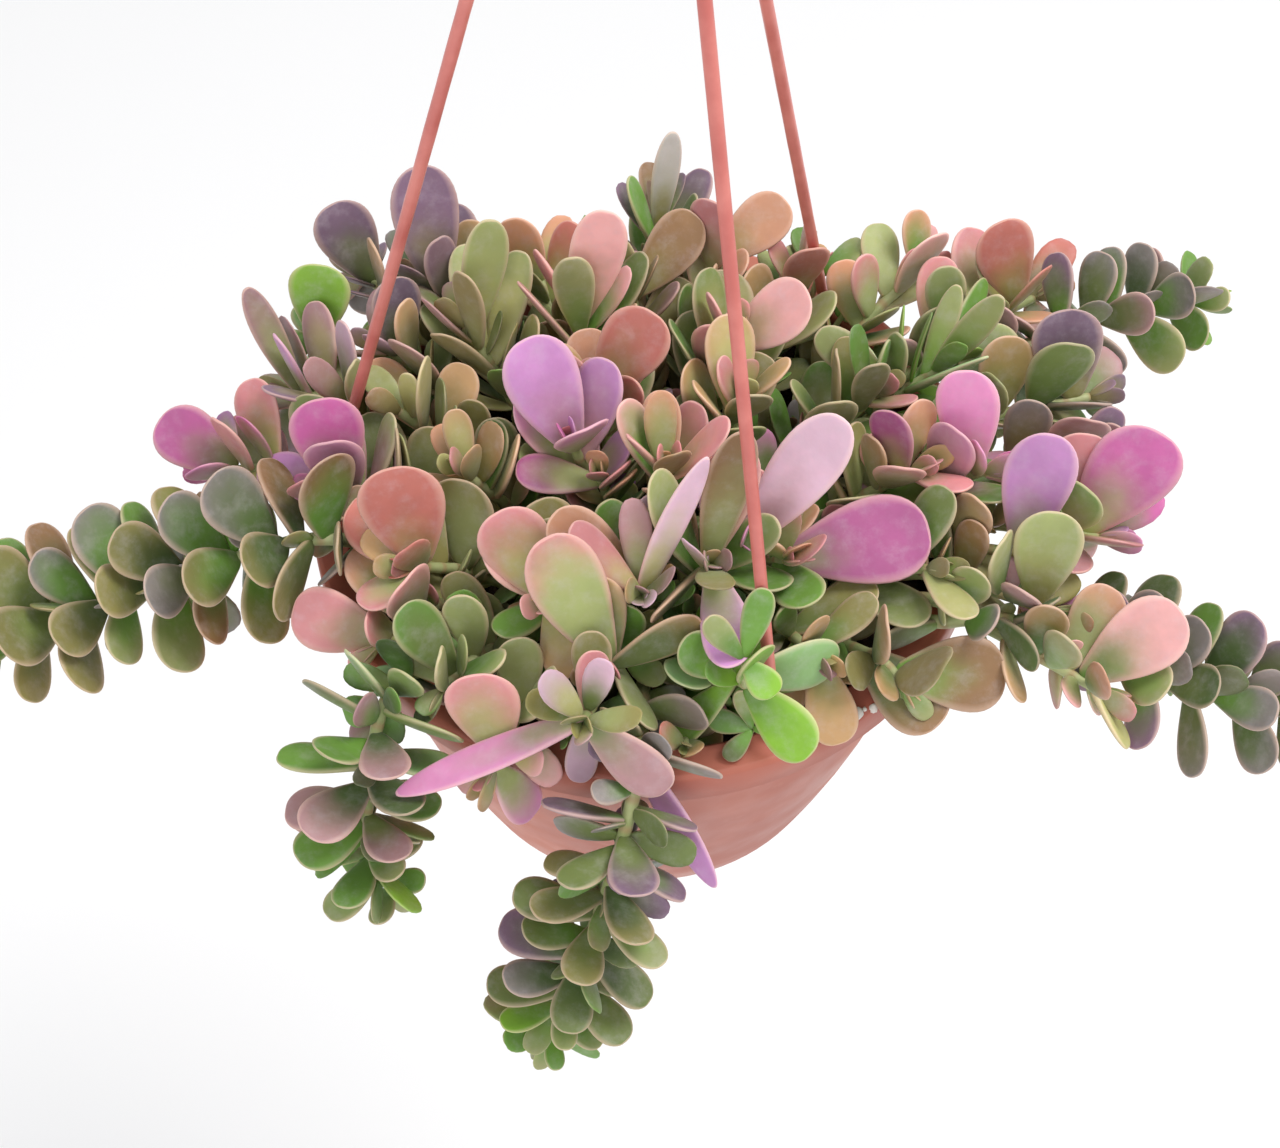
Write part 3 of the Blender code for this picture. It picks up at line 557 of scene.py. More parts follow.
# %% [markdown]
# ## Soil
#
# Dark potting soil fills the pot to two centimetres under the lip. It is crumbly: bark, peat and a few
# pale grains, three of which lie loose on the lip. The surface is a grid of rings pushed down by chance,
# and the crumbs are small flattened stones scattered over it.

# %% Fill the pot
SOIL_DROP = 22 * MM
SOIL_GAP = 0.5 * MM
SOIL_RINGS = (1.0, 0.93, 0.86, 0.78, 0.70, 0.6, 0.5, 0.4, 0.3, 0.2, 0.1, 0)
SOIL_DEPTHS = (0.9, 0.7, 0.5, 0.3)
SOIL_STEPS = 72
SOIL_LUMP = 2.6 * MM
CRUMBS = 260
CRUMB_SIZES = (0.8, 2.6)
SOIL_DARK = screen(34, 27, 22)
SOIL_BARK = screen(84, 64, 48)
SOIL_PALE = screen(150, 135, 115)
GRAIN = screen(226, 220, 212)
GRAINS = ((67.0, -91.0, -403.8, 2.2), (72.6, -88.0, -406.2, 1.8), (69.5, -89.5, -404.2, 0.9))
SOIL_SIDE = 2.5 * MM
SOIL_EDGE = 3.2 * MM
SOIL_CORNER = 9 * MM
soil_draw = random.Random(11)


def soil_material():
    """Dark peat with brown bark and pale grains."""
    board = Board("potting_soil")
    grain = board.noise(260, 8, 0.7)
    colour = board.mix(board.band(grain, 0.35, 0.65), SOIL_DARK, SOIL_BARK)
    pale = board.band(board.noise(520, 2), 0.70, 0.78)
    board.coat(board.mix(pale, colour, SOIL_PALE), 0.95)
    board.relief(grain, 0.8, 0.002)
    return board.material


def grain_material():
    """White volcanic grain."""
    board = Board("pale_grain")
    board.coat(GRAIN, 0.8)
    return board.material


def build_soil():
    """The soil's body, with a lumpy top and crumbs on it, and three pale grains on the pot's lip."""
    edge = wall_radius(SOIL_DROP) - WALL - SOIL_EDGE
    top = [(edge * share, SOIL_DROP) for share in SOIL_RINGS]
    depths = [POT_DEPTH * share for share in SOIL_DEPTHS]
    low = [(wall_radius(depth) - WALL - SOIL_SIDE, depth) for depth in depths]
    bottom = POT_DEPTH - WALL - SOIL_GAP
    bm = spun([(0, bottom), (FOOT_R - SOIL_CORNER, bottom)] + low + top, SOIL_STEPS, RIM_Z)
    for vert in bm.verts:
        if vert.co.z > RIM_Z - SOIL_DROP - MM and vert.co.xy.length < edge - MM:
            vert.co.z -= soil_draw.uniform(0.0, SOIL_LUMP)
    for k in range(CRUMBS):
        turn = soil_draw.uniform(0, math.tau)
        reach = (edge - 4 * MM) * math.sqrt(soil_draw.random())
        size = soil_draw.uniform(*CRUMB_SIZES) * MM
        spot = Vector((reach * math.cos(turn), reach * math.sin(turn), RIM_Z - SOIL_DROP - 0.5 * MM))
        crumb = bmesh.ops.create_icosphere(bm, subdivisions=1, radius=size)["verts"]
        bmesh.ops.scale(bm, verts=crumb, vec=(1, soil_draw.uniform(0.5, 1), soil_draw.uniform(0.4, 0.8)))
        bmesh.ops.rotate(bm, verts=crumb, cent=(0, 0, 0), matrix=Matrix.Rotation(turn * 3, 3, "Z"))
        bmesh.ops.translate(bm, verts=crumb, vec=spot)
    for x, y, z, size in GRAINS:
        before = len(bm.faces)
        grain = bmesh.ops.create_icosphere(bm, subdivisions=2, radius=size * MM)["verts"]
        for vert in grain:
            vert.co *= soil_draw.uniform(0.72, 1.1)
        bmesh.ops.translate(bm, verts=grain, vec=Vector((x, y, z)) * MM)
        bm.faces.ensure_lookup_table()
        for face in bm.faces[before:]:
            face.material_index = 1
    return finish_piece("potting_soil", bm, [soil_material(), grain_material()], ["soil"])


soil = build_soil()
print("soil faces", len(soil.data.polygons))

# %% [markdown]
# ## Reading the leaves off the solids
#
# Each leafy solid is a six-sided stem whose blades have three sides and end in a small triangle. All
# those triangles have one height, because every blade is equally thick there, so they can be told from
# the rest. A triangle gives the way its leaf points, the way it faces and its width, and the matching
# section further down gives its length and its bend.

# %% Find blades and centre lines
NECK = 0.20
WIDEST = 0.65
BELLY = 1.4
BLADE_T = 3.4 * MM
THICK_FOOT = 0.62
THICK_TAPER = 0.28
STATIONS = (0.38, 0.70, 0.96)
END_AT = STATIONS[2]
MID_AT = STATIONS[1]
NEAR = 0.03 * MM
RING_REACH = 3.1 * MM
SIDES = 6
ROOT_DEPTH = 14 * MM


def outline(t):
    """Half-width of a blade at t along it, as a share of the widest."""
    if t < WIDEST:
        return NECK + (1 - NECK) * math.sin(math.pi / 2 * t / WIDEST) ** BELLY
    return math.sqrt(max(1 - ((t - WIDEST) / (1 - WIDEST)) ** 2, 0))


def thickness(t):
    """A solid blade's thickness at t along it."""
    return BLADE_T * (THICK_FOOT - THICK_TAPER * t)


class Leaf:
    """One leaf: where it starts, the way it points and faces, its size and its bend."""

    def __init__(self, base, along, face, length, width, bend):
        self.base = base
        self.along = along
        self.face = face
        self.side = along.cross(face)
        self.length = length
        self.width = width
        self.bend = bend
        self.rank = 0

    def spot(self, t):
        """A point of the leaf's middle line."""
        return self.base + self.along * self.length * t + self.face * self.bend * self.length * t * t

    def section(self, t):
        """The three corners of the solid blade's section."""
        half, thick = self.width / 2 * outline(t), thickness(t)
        spot = self.spot(t)
        top = spot + self.face * thick / 2
        return [top - self.side * half, top + self.side * half, spot - self.face * thick]


def end_triangle(corners):
    """The end of a blade, if three corners are one: its half-width, facing and keel corner."""
    for k in range(3):
        one, two, keel = corners[k], corners[(k + 1) % 3], corners[(k + 2) % 3]
        middle = (one + two) / 2
        tall = (middle - keel).length
        even = abs((one - keel).length - (two - keel).length)
        if abs(tall - 1.5 * thickness(END_AT)) < NEAR and even < NEAR:
            return (two - one).length / 2, (middle - keel) / tall, keel
    return None


def read_leaf(half, face, keel, along, tree, points):
    """The leaf that ends in a triangle, found from the section nearer its foot."""
    side = along.cross(face)
    end = keel + face * thickness(END_AT)
    mid_half = half * outline(MID_AT) / outline(END_AT)
    mid_thick = thickness(MID_AT)
    for point in points:
        spot = point + side * mid_half - face * mid_thick / 2
        step = end - spot
        if abs(step.dot(side)) > NEAR or step.dot(along) < MM:
            continue
        if tree.find(point + side * 2 * mid_half)[2] > NEAR or tree.find(spot - face * mid_thick)[2] > NEAR:
            continue
        length = step.dot(along) / (END_AT - MID_AT)
        bend = step.dot(face) / (END_AT ** 2 - MID_AT ** 2) / length
        base = end - along * length * END_AT - face * bend * length * END_AT ** 2
        return Leaf(base, along, face, length, 2 * half / outline(END_AT), bend)
    return None


def merged_points(mesh):
    """The different corners of a mesh whose triangles are loose."""
    seen = {}
    for vert in mesh.vertices:
        seen.setdefault(tuple(round(c / MM, 3) for c in vert.co), vert.co.copy())
    return list(seen.values())


def centre_line(points, foot_z):
    """The middle of each ring of six corners, from the foot of the stem to its tip."""
    left = list(points)
    rings = []
    while left:
        ring = [left.pop()]
        for corner in ring:
            close = [p for p in left if (p - corner).length < RING_REACH]
            ring += close
            left = [p for p in left if p not in close]
        if len(ring) == SIDES:
            rings.append(sum(ring, Vector()) / SIDES)
    line = [min(rings, key=lambda p: abs(p.z - foot_z) + p.xy.length / 20)]
    rings.remove(line[0])
    while rings:
        line.append(min(rings, key=lambda p: (p - line[-1]).length))
        rings.remove(line[-1])
    return line


def read_stem(name):
    """The centre line and the leaves of one leafy solid, the leaves ranked from the tip."""
    mesh = frame["nodes"][name].data
    points = merged_points(mesh)
    tree = KDTree(len(points))
    for k, point in enumerate(points):
        tree.insert(point, k)
    tree.balance()
    leaves = []
    taken = set()
    for face in mesh.polygons:
        corners = [mesh.vertices[i].co.copy() for i in face.vertices]
        end = end_triangle(corners) if len(corners) == 3 else None
        leaf = read_leaf(*end, face.normal.copy(), tree, points) if end else None
        if leaf:
            leaves.append(leaf)
            for t in STATIONS:
                taken.update(tree.find(corner)[1] for corner in leaf.section(t))
    rest = [point for k, point in enumerate(points) if k not in taken]
    line = centre_line(rest, RIM_Z - SOIL_DROP - ROOT_DEPTH)
    steps = [(one + two) / 2 for one, two in zip(line, line[1:])]
    for leaf in leaves:
        step = min(range(len(steps)), key=lambda k: (steps[k] - leaf.base).length)
        leaf.rank = len(steps) - 1 - step
    leaves.sort(key=lambda leaf: (leaf.rank, -leaf.length * leaf.width))
    return line, leaves


STEMS = {name: read_stem(name) for name in sorted(frame["nodes"]) if name.startswith("stem_")}
for name in ("stem_trail_left", "stem_rose_back"):
    line, leaves = STEMS[name]
    print(name, "rings", len(line), "leaves", len(leaves))
print("leaves found", sum(len(leaves) for line, leaves in STEMS.values()))

# %% [markdown]
# ## Leaf skin
#
# The skin of a leaf is matt, with a pale waxy bloom. Its colour runs from green at the foot to pink or
# violet at the tip, in a cloudy edge rather than a straight one, and the margin is a shade paler: partly
# a pale rim of its own and partly a painted highlight where the rounded edge catches the light. Each
# leaf carries its own foot and tip colours as attributes, so one material paints every leaf.

# %% Mix the skins
BLOOM = screen(214, 204, 212)
# Pale margin colour: partly the leaf's own pale rim, partly a painted highlight on its rounded edge.
PALE_RIM_AND_HIGHLIGHT = screen(240, 204, 184)
UNDER_DULL = screen(152, 124, 112)
STEM_SAGE = screen(150, 160, 104)
STEM_PALE = screen(184, 188, 138)
STEM_SCAR = screen(168, 138, 100)
SATURATION = 1.12
FLESH = {
    "Sheen Weight": 0.05, "Sheen Roughness": 0.4, "Subsurface Weight": 0.12,
    "Subsurface Radius": (0.6, 0.35, 0.2), "Subsurface Scale": 0.003,
}


def leaf_skin():
    """Waxy skin that fades from the leaf's foot colour to its tip colour."""
    board = Board("leaf_skin")
    tip = board.attribute("tip", "Color")
    foot = board.attribute("foot", "Color")
    cloud = board.math("MULTIPLY", board.math("SUBTRACT", board.noise(75, 3), 0.5), 0.5)
    edge = board.math("MULTIPLY", board.math("POWER", board.attribute("edge"), 2.0), 0.24)
    along = board.math("ADD", board.math("ADD", board.attribute("along"), cloud), edge)
    along = board.math("ADD", along, board.attribute("turn"))
    colour = board.mix(board.band(along, 0.25, 1.05), foot, tip)
    colour = board.mix(board.math("MULTIPLY", board.attribute("under"), 0.25), colour, UNDER_DULL)
    colour = board.brighten(colour, board.band(board.noise(45, 4, 0.6), 0.3, 0.7, 0.90, 1.10), SATURATION)
    bloom = board.band(board.noise(160, 6, 0.65), 0.42, 0.80, 0.02, 0.22)
    colour = board.mix(bloom, colour, BLOOM)
    # The pale margin is partly the leaf's own pale rim and partly a painted highlight along the rounded
    # edge.
    margin_and_highlight = board.band(board.attribute("edge"), 0.84, 0.97, 0.0, 0.85)
    colour = board.mix(margin_and_highlight, colour, board.mix(0.50, board.brighten(tip, 1.15), PALE_RIM_AND_HIGHLIGHT))
    board.coat(colour, board.band(board.noise(120), 0.3, 0.7, 0.44, 0.64))
    for name, value in FLESH.items():
        board.shader.inputs[name].default_value = value
    board.relief(board.noise(1400, 2), 0.10, 0.0002)
    board.relief(board.noise(110, 3), 0.25, 0.0012)
    return board.material


def stem_skin():
    """Pale green stem with tan scars and a little bark."""
    board = Board("stem_skin")
    cloud = board.band(board.noise(90, 4), 0.35, 0.7)
    colour = board.mix(cloud, STEM_SAGE, STEM_PALE)
    scar = board.band(board.attribute("edge"), 0.3, 1.0, 0.0, 0.7)
    colour = board.mix(scar, colour, STEM_SCAR)
    board.coat(colour, board.band(board.noise(200), 0.3, 0.7, 0.48, 0.66))
    board.relief(board.noise(420, 4), 0.3, 0.0006)
    return board.material


leaf_material = leaf_skin()
stem_material = stem_skin()
print("leaf nodes", len(leaf_material.node_tree.nodes))

# %% [markdown]
# ## Paints
#
# Leaves near the light are rosy, the shaded ones under them olive and tan, and the young ones at a tip
# bright green. Each tone lists the paints that its tips and feet are drawn from. The leaves that stand
# out on the plant get a paint of their own, in order from the tip of their stem.

# %% Choose each leaf's paints


def table(text):
    """Rows of words, each under the name before its colon."""
    rows = [row.split(":") for row in text.strip().splitlines()]
    return {name.strip(): tuple(words.split()) for name, words in rows}


PAINTS = {
    "plum": (122, 98, 118), "grape": (104, 88, 104), "slate": (128, 122, 118), "mauve": (168, 132, 134),
    "violet": (188, 138, 184), "orchid": (212, 146, 184), "magenta": (188, 108, 156),
    "rose": (208, 144, 146), "blush": (232, 178, 176), "coral": (198, 126, 116),
    "peach": (208, 158, 130), "tan": (184, 150, 112),
    "brown": (144, 112, 80), "lilac": (210, 178, 194), "silver": (186, 182, 174), "olive": (138, 132, 82),
    "sage": (152, 160, 108), "moss": (108, 122, 70), "leaf": (106, 144, 68), "bright": (132, 174, 72),
    "mint": (158, 196, 136), "deep": (80, 100, 56), "straw": (172, 170, 116),
}
TIPS = table("""
    plum: plum slate mauve plum brown
    mauve: mauve lilac tan olive mauve
    rose: rose blush tan rose peach
    coral: coral rose peach tan coral
    peach: peach tan rose straw tan
    orchid: orchid violet magenta rose orchid
    olive: olive brown tan mauve sage
    green: leaf sage olive rose moss
    bright: bright leaf mint bright leaf
""")
FEET = table("""
    plum: moss deep olive
    mauve: sage moss straw
    rose: sage straw leaf
    coral: olive straw sage
    peach: straw sage olive
    orchid: sage mauve straw
    olive: moss olive leaf
    green: leaf moss sage
    bright: bright leaf bright
""")
SHADED = ("olive", "sage", "tan", "moss", "leaf", "sage")
TONES = {
    row["node"][5:]: row["material_slot"][5:]
    for row in frame["record"]["subparts"] if row["node"].startswith("stem_")
}
LEAD_PAINTS = table("""
    plum_left: plum
    mauve_left: grape
    grey_tall: plum slate
    long_mauve: sage
    coral_back: peach
    rose_back: blush rose
    brown_back: brown sage
    silver_back: silver
    peach_back: peach rose
    pink_big: blush
    coral_right: coral
    coral_far: coral blush
    mauve_far: plum
    orchid_a: orchid
    orchid_b: violet
    magenta_r: magenta rose
    olive_r: sage
    palegreen_r: blush straw
    rose_cr: magenta rose
    violet_cr: lilac violet
    hotpink: magenta
    palegreen_cr: straw
    tan_cr: tan olive tan
    brown_cr: brown
    lilac_m: violet
    coral_m: coral rose peach
    tall_m: brown rose violet
    lilac_n: lilac rose peach
    magenta_m: magenta
    rose_ml: rose tan
    big_green: rose tan
    rose_front: rose orchid
    magenta_l: magenta rose
    mauve_l: violet mauve violet mauve plum mauve lilac
    pink_l: magenta violet
    coral_l: coral
    pink_low: rose blush
    grey_low: sage
    violet_front: orchid mauve lilac rose
    star_green: sage leaf sage sage mint sage
    bright_m: bright bright mint bright leaf bright
""")
LEAD_TURNS = {
    "big_green": -0.30, "tall_m": 0.05, "rose_front": -0.05, "rose_ml": -0.05, "magenta_m": -0.05,
    "hotpink": 0.45, "magenta_r": 0.25, "mauve_l": 0.0, "coral_l": 0.35, "orchid_a": 0.35,
    "orchid_b": 0.35, "violet_front": 0.30,
}
HANGING_LEAF = 45 * MM
TRAIL_TIPS = table("""
    trail_left: olive brown slate olive
    trail_right: slate slate plum deep
    trail_back: plum slate mauve slate
    trail_front: moss slate plum olive
    trail_spray: leaf mauve deep mint
""")
GREEN_TIPS = {"trail_back": 1, "trail_right": 0}
GREEN_SHARE = 0.10
GREEN_RANKS = 3
SHADED_SHARE = 0.22
LEAD_TURN = 0.22
HANGING_TURN = 0.35
TURNS = (-0.22, 0.12)


def shade(paint, draw):
    """A paint, a little lighter or darker by chance."""
    light = draw.uniform(0.90, 1.10)
    return screen(*[min(value * light, 255) for value in PAINTS[paint]])


def paints_of(stem, number, leaf, draw):
    """A leaf's foot and tip colours and its turn, by its stem, its number from the tip and its depth."""
    tone = TONES[stem]
    leads = LEAD_PAINTS.get(stem, ())
    foot = draw.choice(FEET[tone])
    tip = draw.choice(TIPS[tone])
    turn = draw.uniform(*TURNS)
    if number < len(leads):
        tip = leads[number]
        turn = LEAD_TURNS.get(stem, LEAD_TURN)
    elif stem in TRAIL_TIPS:
        tip = draw.choice(TRAIL_TIPS[stem])
        foot = draw.choice(("moss", "deep", "leaf"))
        if leaf.length > HANGING_LEAF:
            tip, foot, turn = "violet", "mauve", HANGING_TURN
        elif leaf.rank < GREEN_TIPS.get(stem, GREEN_RANKS):
            tip = draw.choice(("leaf", "bright", "sage"))
            foot = "leaf"
    elif draw.random() < SHADED_SHARE * leaf.rank and tone != "bright":
        tip = draw.choice(SHADED)
    if leaf.rank and number >= len(leads) and draw.random() < GREEN_SHARE:
        foot, tip = "leaf", draw.choice(("leaf", "sage"))
    return shade(foot, draw), shade(tip, draw), turn


print("paints", len(PAINTS))

# %% [markdown]
# ## Leaves
#
# A leaf is a thick spoon: narrow at the foot, widest past the middle, round at the tip, with blunt edges.
# The slimmest leaves are straps instead, nearly as broad all the way. A small sphere has the right layout
# of faces, so each of its rows is drawn out to the leaf's outline at that place. Small leaves get fewer
# rows, because hundreds are made, and one round of subdivision smooths them all.

# %% Shape a leaf
LEAF_SIDES = 8
ROWS = (0.0, 0.04, 0.16, 0.30, 0.45, 0.60, 0.74, 0.86, 0.945, 0.985, 1.0)
SMALL_ROWS = (0.0, 0.13, 0.42, 0.72, 0.94, 1.0)
ROUNDER = 1.02
BROADEST = 0.70
FOOT_SHARE = 0.24
WEDGE = 1.2
TIP_ROUND = 2.15
STRAP_FOOT = 0.34
STRAP_SIZE = 0.80
STRAP_FULL = 0.52
SLIM_FROM = 3.0
SLIM_OVER = 0.7
SMALL_RIM = 0.93
TIP_RIM = 0.94
TIP_FROM = 0.97
CUPS = (0.02, 0.16)
SWAY = 0.05
FULL_SHARE = 0.72
FULL_MORE = 0.15 * MM
PLUMP_WIDTH = 17 * MM
STRAP_TAPER = 2.3
STRAP_TIP = 0.6
CORNERS = (
    (1.0, 0.0), (0.86, 0.86), (0.0, 1.0), (-0.86, 0.86),
    (-1.0, 0.0), (-0.86, -0.86), (0.0, -1.0), (0.86, -0.86),
)


def wedge(t):
    """Half-width of a finished leaf at t along it: a wedge that ends in a broad round tip."""
    if t < BROADEST:
        return FOOT_SHARE + (1 - FOOT_SHARE) * math.sin(math.pi / 2 * t / BROADEST) ** WEDGE
    return max(1 - ((t - BROADEST) / (1 - BROADEST)) ** TIP_ROUND, 0) ** (1 / TIP_ROUND)


def strap(t):
    """Half-width of a slim leaf at t along it: nearly even, with a narrower tip."""
    if t < STRAP_FULL:
        return STRAP_FOOT + (STRAP_SIZE - STRAP_FOOT) * math.sin(math.pi / 2 * t / STRAP_FULL)
    return STRAP_SIZE * max(1 - ((t - STRAP_FULL) / (1 - STRAP_FULL)) ** STRAP_TAPER, 0) ** STRAP_TIP


def half_width(leaf, t):
    """Half-width of any leaf: slim ones turn from the wedge to the strap."""
    slim = min(max(leaf.length / leaf.width - SLIM_FROM, 0) / SLIM_OVER, 1)
    return leaf.width / 2 * ROUNDER * (wedge(t) * (1 - slim) + strap(t) * slim)


def leaf_layout(rows):
    """The corners of a leaf as (t, across, up), and its faces: a small sphere's rows and sides."""
    bm = bmesh.new()
    last = len(rows) - 1
    made = bmesh.ops.create_uvsphere(bm, u_segments=LEAF_SIDES, v_segments=last, radius=1.0)
    corners = []
    for vert in made["verts"]:
        row = round(math.acos(max(-1.0, min(1.0, -vert.co.z))) / math.pi * last)
        turn = math.atan2(vert.co.y, vert.co.x) / math.tau
        corner = (0.0, 0.0) if row in (0, last) else CORNERS[round(turn * LEAF_SIDES) % LEAF_SIDES]
        corners.append((rows[row], *corner))
    faces = [[vert.index for vert in face.verts] for face in bm.faces]
    bm.free()
    return corners, faces


LARGE_LAYOUT = leaf_layout(ROWS)
SMALL_LAYOUT = leaf_layout(SMALL_ROWS)


CARRIED = ("along", "edge", "under", "turn", "foot", "tip")


def add_leaf(bm, layers, leaf, paint, draw, layout):
    """One leaf in a bmesh, with its foot and tip colours and where one turns into the other."""
    cup = draw.uniform(*CUPS)
    sway = draw.uniform(-SWAY, SWAY) * leaf.length
    plump = 1.0 if layout is LARGE_LAYOUT else min(1.0, (leaf.width / PLUMP_WIDTH) ** 0.7)
    rim = 1.0 if layout is LARGE_LAYOUT else SMALL_RIM
    corners, faces = layout
    foot, tip, turn = paint
    verts = []
    for t, across, up in corners:
        half = half_width(leaf, t)
        full = (thickness(t) * FULL_SHARE + FULL_MORE) * plump
        swell = full * min(1.0, 0.45 + 1.1 * (1 - t) ** 0.5)
        lift = -0.2 * thickness(t) * plump + cup * half * across ** 2
        middle = leaf.spot(t) + leaf.side * sway * t * t
        vert = bm.verts.new(middle + leaf.side * half * across + leaf.face * (swell * up + lift))
        edge = rim * max(abs(across), TIP_RIM if t > TIP_FROM else 0.0)
        for name, value in zip(CARRIED, (t, edge, 1.0 if up < 0 else 0.0, turn, foot, tip)):
            vert[layers[name]] = value
        verts.append(vert)
    blade_map = layers["map"]
    for face in faces:
        made = bm.faces.new([verts[i] for i in face])
        for loop in made.loops:
            away = loop.vert.co - leaf.base
            loop[blade_map].uv = (0.5 + away.dot(leaf.side) / leaf.width, away.dot(leaf.along) / leaf.length)


print("corners of a leaf", len(LARGE_LAYOUT[0]), "and of a small one", len(SMALL_LAYOUT[0]))

# %% [markdown]
# ## Room for more leaves
#
# The solids hold the large leaves only. Between them the plant is full of smaller ones, wherever there
# is room. A new leaf is tried as a plain shell against all the solids and against the small leaves
# already there, and is turned and made smaller until it is clear.

# %% Look for room
HULL_AT = (0.30, 0.65, 0.97)
CELL = 36 * MM
TOWARD_LIGHT = Vector((0.0, 0.40, 0.917))
TOWARD_FRONT = Vector((0.0, -0.56, 0.83))


def shell_of(leaf):
    """A plain shell round the free part of a leaf."""
    corners = []
    for t in HULL_AT:
        half, thick, spot = leaf.width / 2 * outline(t), thickness(t) * 0.75, leaf.spot(t)
        for across, up in ((-1, -1), (1, -1), (1, 1), (-1, 1)):
            corners.append(spot + leaf.side * half * across + leaf.face * thick * up)
    faces = [(k + i, k + (i + 1) % 4, k + 4 + (i + 1) % 4, k + 4 + i) for k in (0, 4) for i in range(4)]
    return BVHTree.FromPolygons(corners, faces + [(3, 2, 1, 0), (8, 9, 10, 11)])


class Room:
    """What a new leaf must keep clear of."""

    def __init__(self):
        corners, faces = [], []
        for node in frame["nodes"].values():
            first = len(corners)
            corners += [vert.co.copy() for vert in node.data.vertices]
            faces += [[first + i for i in face.vertices] for face in node.data.polygons]
        self.solids = BVHTree.FromPolygons(corners, faces)
        self.cells = {}

    def near(self, spot):
        """The small leaves in the cells round a spot."""
        x, y, z = (math.floor(c / CELL) for c in spot)
        for k in range(27):
            yield from self.cells.get((x + k // 9 - 1, y + k // 3 % 3 - 1, z + k % 3 - 1), ())

    def take(self, leaf):
        """Whether a leaf is clear of everything; if it is, its place is taken."""
        shell = shell_of(leaf)
        middle = leaf.spot(0.6)
        if self.solids.overlap(shell) or any(other.overlap(shell) for other in self.near(middle)):
            return False
        cell = tuple(math.floor(c / CELL) for c in middle)
        self.cells.setdefault(cell, []).append(shell)
        return True


def small_leaf(base, way, out, length, width, draw):
    """A small leaf that leans out from its stem and up to the light."""
    along = out * draw.uniform(0.5, 1.2) + way * draw.uniform(0.2, 0.7)
    along = (along + TOWARD_LIGHT * draw.uniform(0.4, 0.9)).normalized()
    face = TOWARD_FRONT * draw.uniform(0.1, 0.7) - out * 0.8 + way * draw.uniform(0.0, 0.5)
    face = (face - along * face.dot(along)).normalized()
    size = draw.uniform(0.9, 1.1)
    broad = width * size * draw.uniform(0.85, 1.1)
    return Leaf(base, along, face, length * size, broad, draw.uniform(0.0, 0.14))


room = Room()
print("solids taken into account", len(frame["nodes"]))

# %% [markdown]
# ## Sprigs
#
# Three small green sprigs stand out in front of the rest, two at the front of the lip and one at the
# left, so their leaves are listed one by one and take their room first. A leaf that has none, however
# small it is made, stays out.

# %% Set the sprigs
SPRIG_SIZES = (1.0, 0.92, 0.84, 0.74, 0.64, 0.54)
SPRIG_BEND = 0.08
SPRIGS = (
    ((28, -90, -428), (33, -100, -398), (
        ((41, -121, -419), 11, "leaf"), ((20, -112, -408), 11, "moss"), ((27, -120, -412), 10, "deep"),
        ((50, -108, -386), 8, "mint"), ((16, -96, -396), 10, "leaf"), ((38, -88, -372), 11, "bright"),
        ((26, -92, -378), 8, "sage"), ((48, -96, -392), 9, "leaf"),
    )),
    ((30, -99, -374), (29, -97, -361), (
        ((45.5, -96, -345), 13, "bright"), ((23, -105, -380), 12, "mint"), ((38, -106, -368), 11, "bright"),
        ((16.5, -92, -345), 9, "sage"), ((35, -84, -340), 10, "leaf"), ((19, -103, -366), 8, "straw"),
    )),
    ((-117, 50, -398), (-115, 51, -387), (
        ((-111, 65, -361), 23, "bright"), ((-104, 51, -373), 19, "bright"), ((-118, 68, -385), 16, "leaf"),
        ((-124, 58, -381), 14, "bright"), ((-128, 50, -388), 12, "leaf"),
    )),
)


def sprig_leaves(top, tips):
    """The leaves of a sprig, each drawn in toward the sprig's top until it is clear."""
    made = []
    for tip, width, paint in tips:
        away = Vector(tip) * MM - top
        along = away.normalized()
        face = (TOWARD_FRONT - along * TOWARD_FRONT.dot(along)).normalized()
        for size in SPRIG_SIZES:
            leaf = Leaf(top, along, face, away.length * size, width * MM * size, SPRIG_BEND)
            if room.take(leaf):
                made.append((leaf, paint))
                break
    return made


SPRIG_LEAVES = [sprig_leaves(Vector(top) * MM, tips) for foot, top, tips in SPRIGS]
print("sprig leaves", [len(made) for made in SPRIG_LEAVES])

# %% [markdown]
# ## Small leaves
#
# Each stem gets a pair of small leaves at even gaps from its tip down to the soil. They are measured by
# the stem's own large leaves.

# %% Fill the stems
FILL_STEP = 4.6 * MM
FILL_SIZES = (0.90, 0.84, 0.76, 0.70, 0.62, 0.54, 0.46)
FILL_STRAY = 50
LOWEST_FILL = 3 * MM
DROOP = -0.2


def even_points(line, gap):
    """Points at even gaps down a line from its tip, each with the line's way there."""
    left = gap
    for high, low in zip(line[::-1], line[-2::-1]):
        span = (low - high).length
        while left < span:
            yield high.lerp(low, left / span), (high - low) / span
            left += gap
        left -= span


def fill_pair(base, way, side, length, width, rank, draw):
    """A pair of small leaves at one place of a stem, as far as there is room."""
    made = []
    for half_turn in (0, 180):
        for size in FILL_SIZES:
            turn = math.radians(half_turn + draw.uniform(-FILL_STRAY, FILL_STRAY))
            out = Matrix.Rotation(turn, 3, way) @ side
            leaf = small_leaf(base, way, out, length * size, width * size, draw)
            if leaf.along.dot(way) > DROOP and room.take(leaf):
                leaf.rank = rank
                made.append(leaf)
                break
    return made


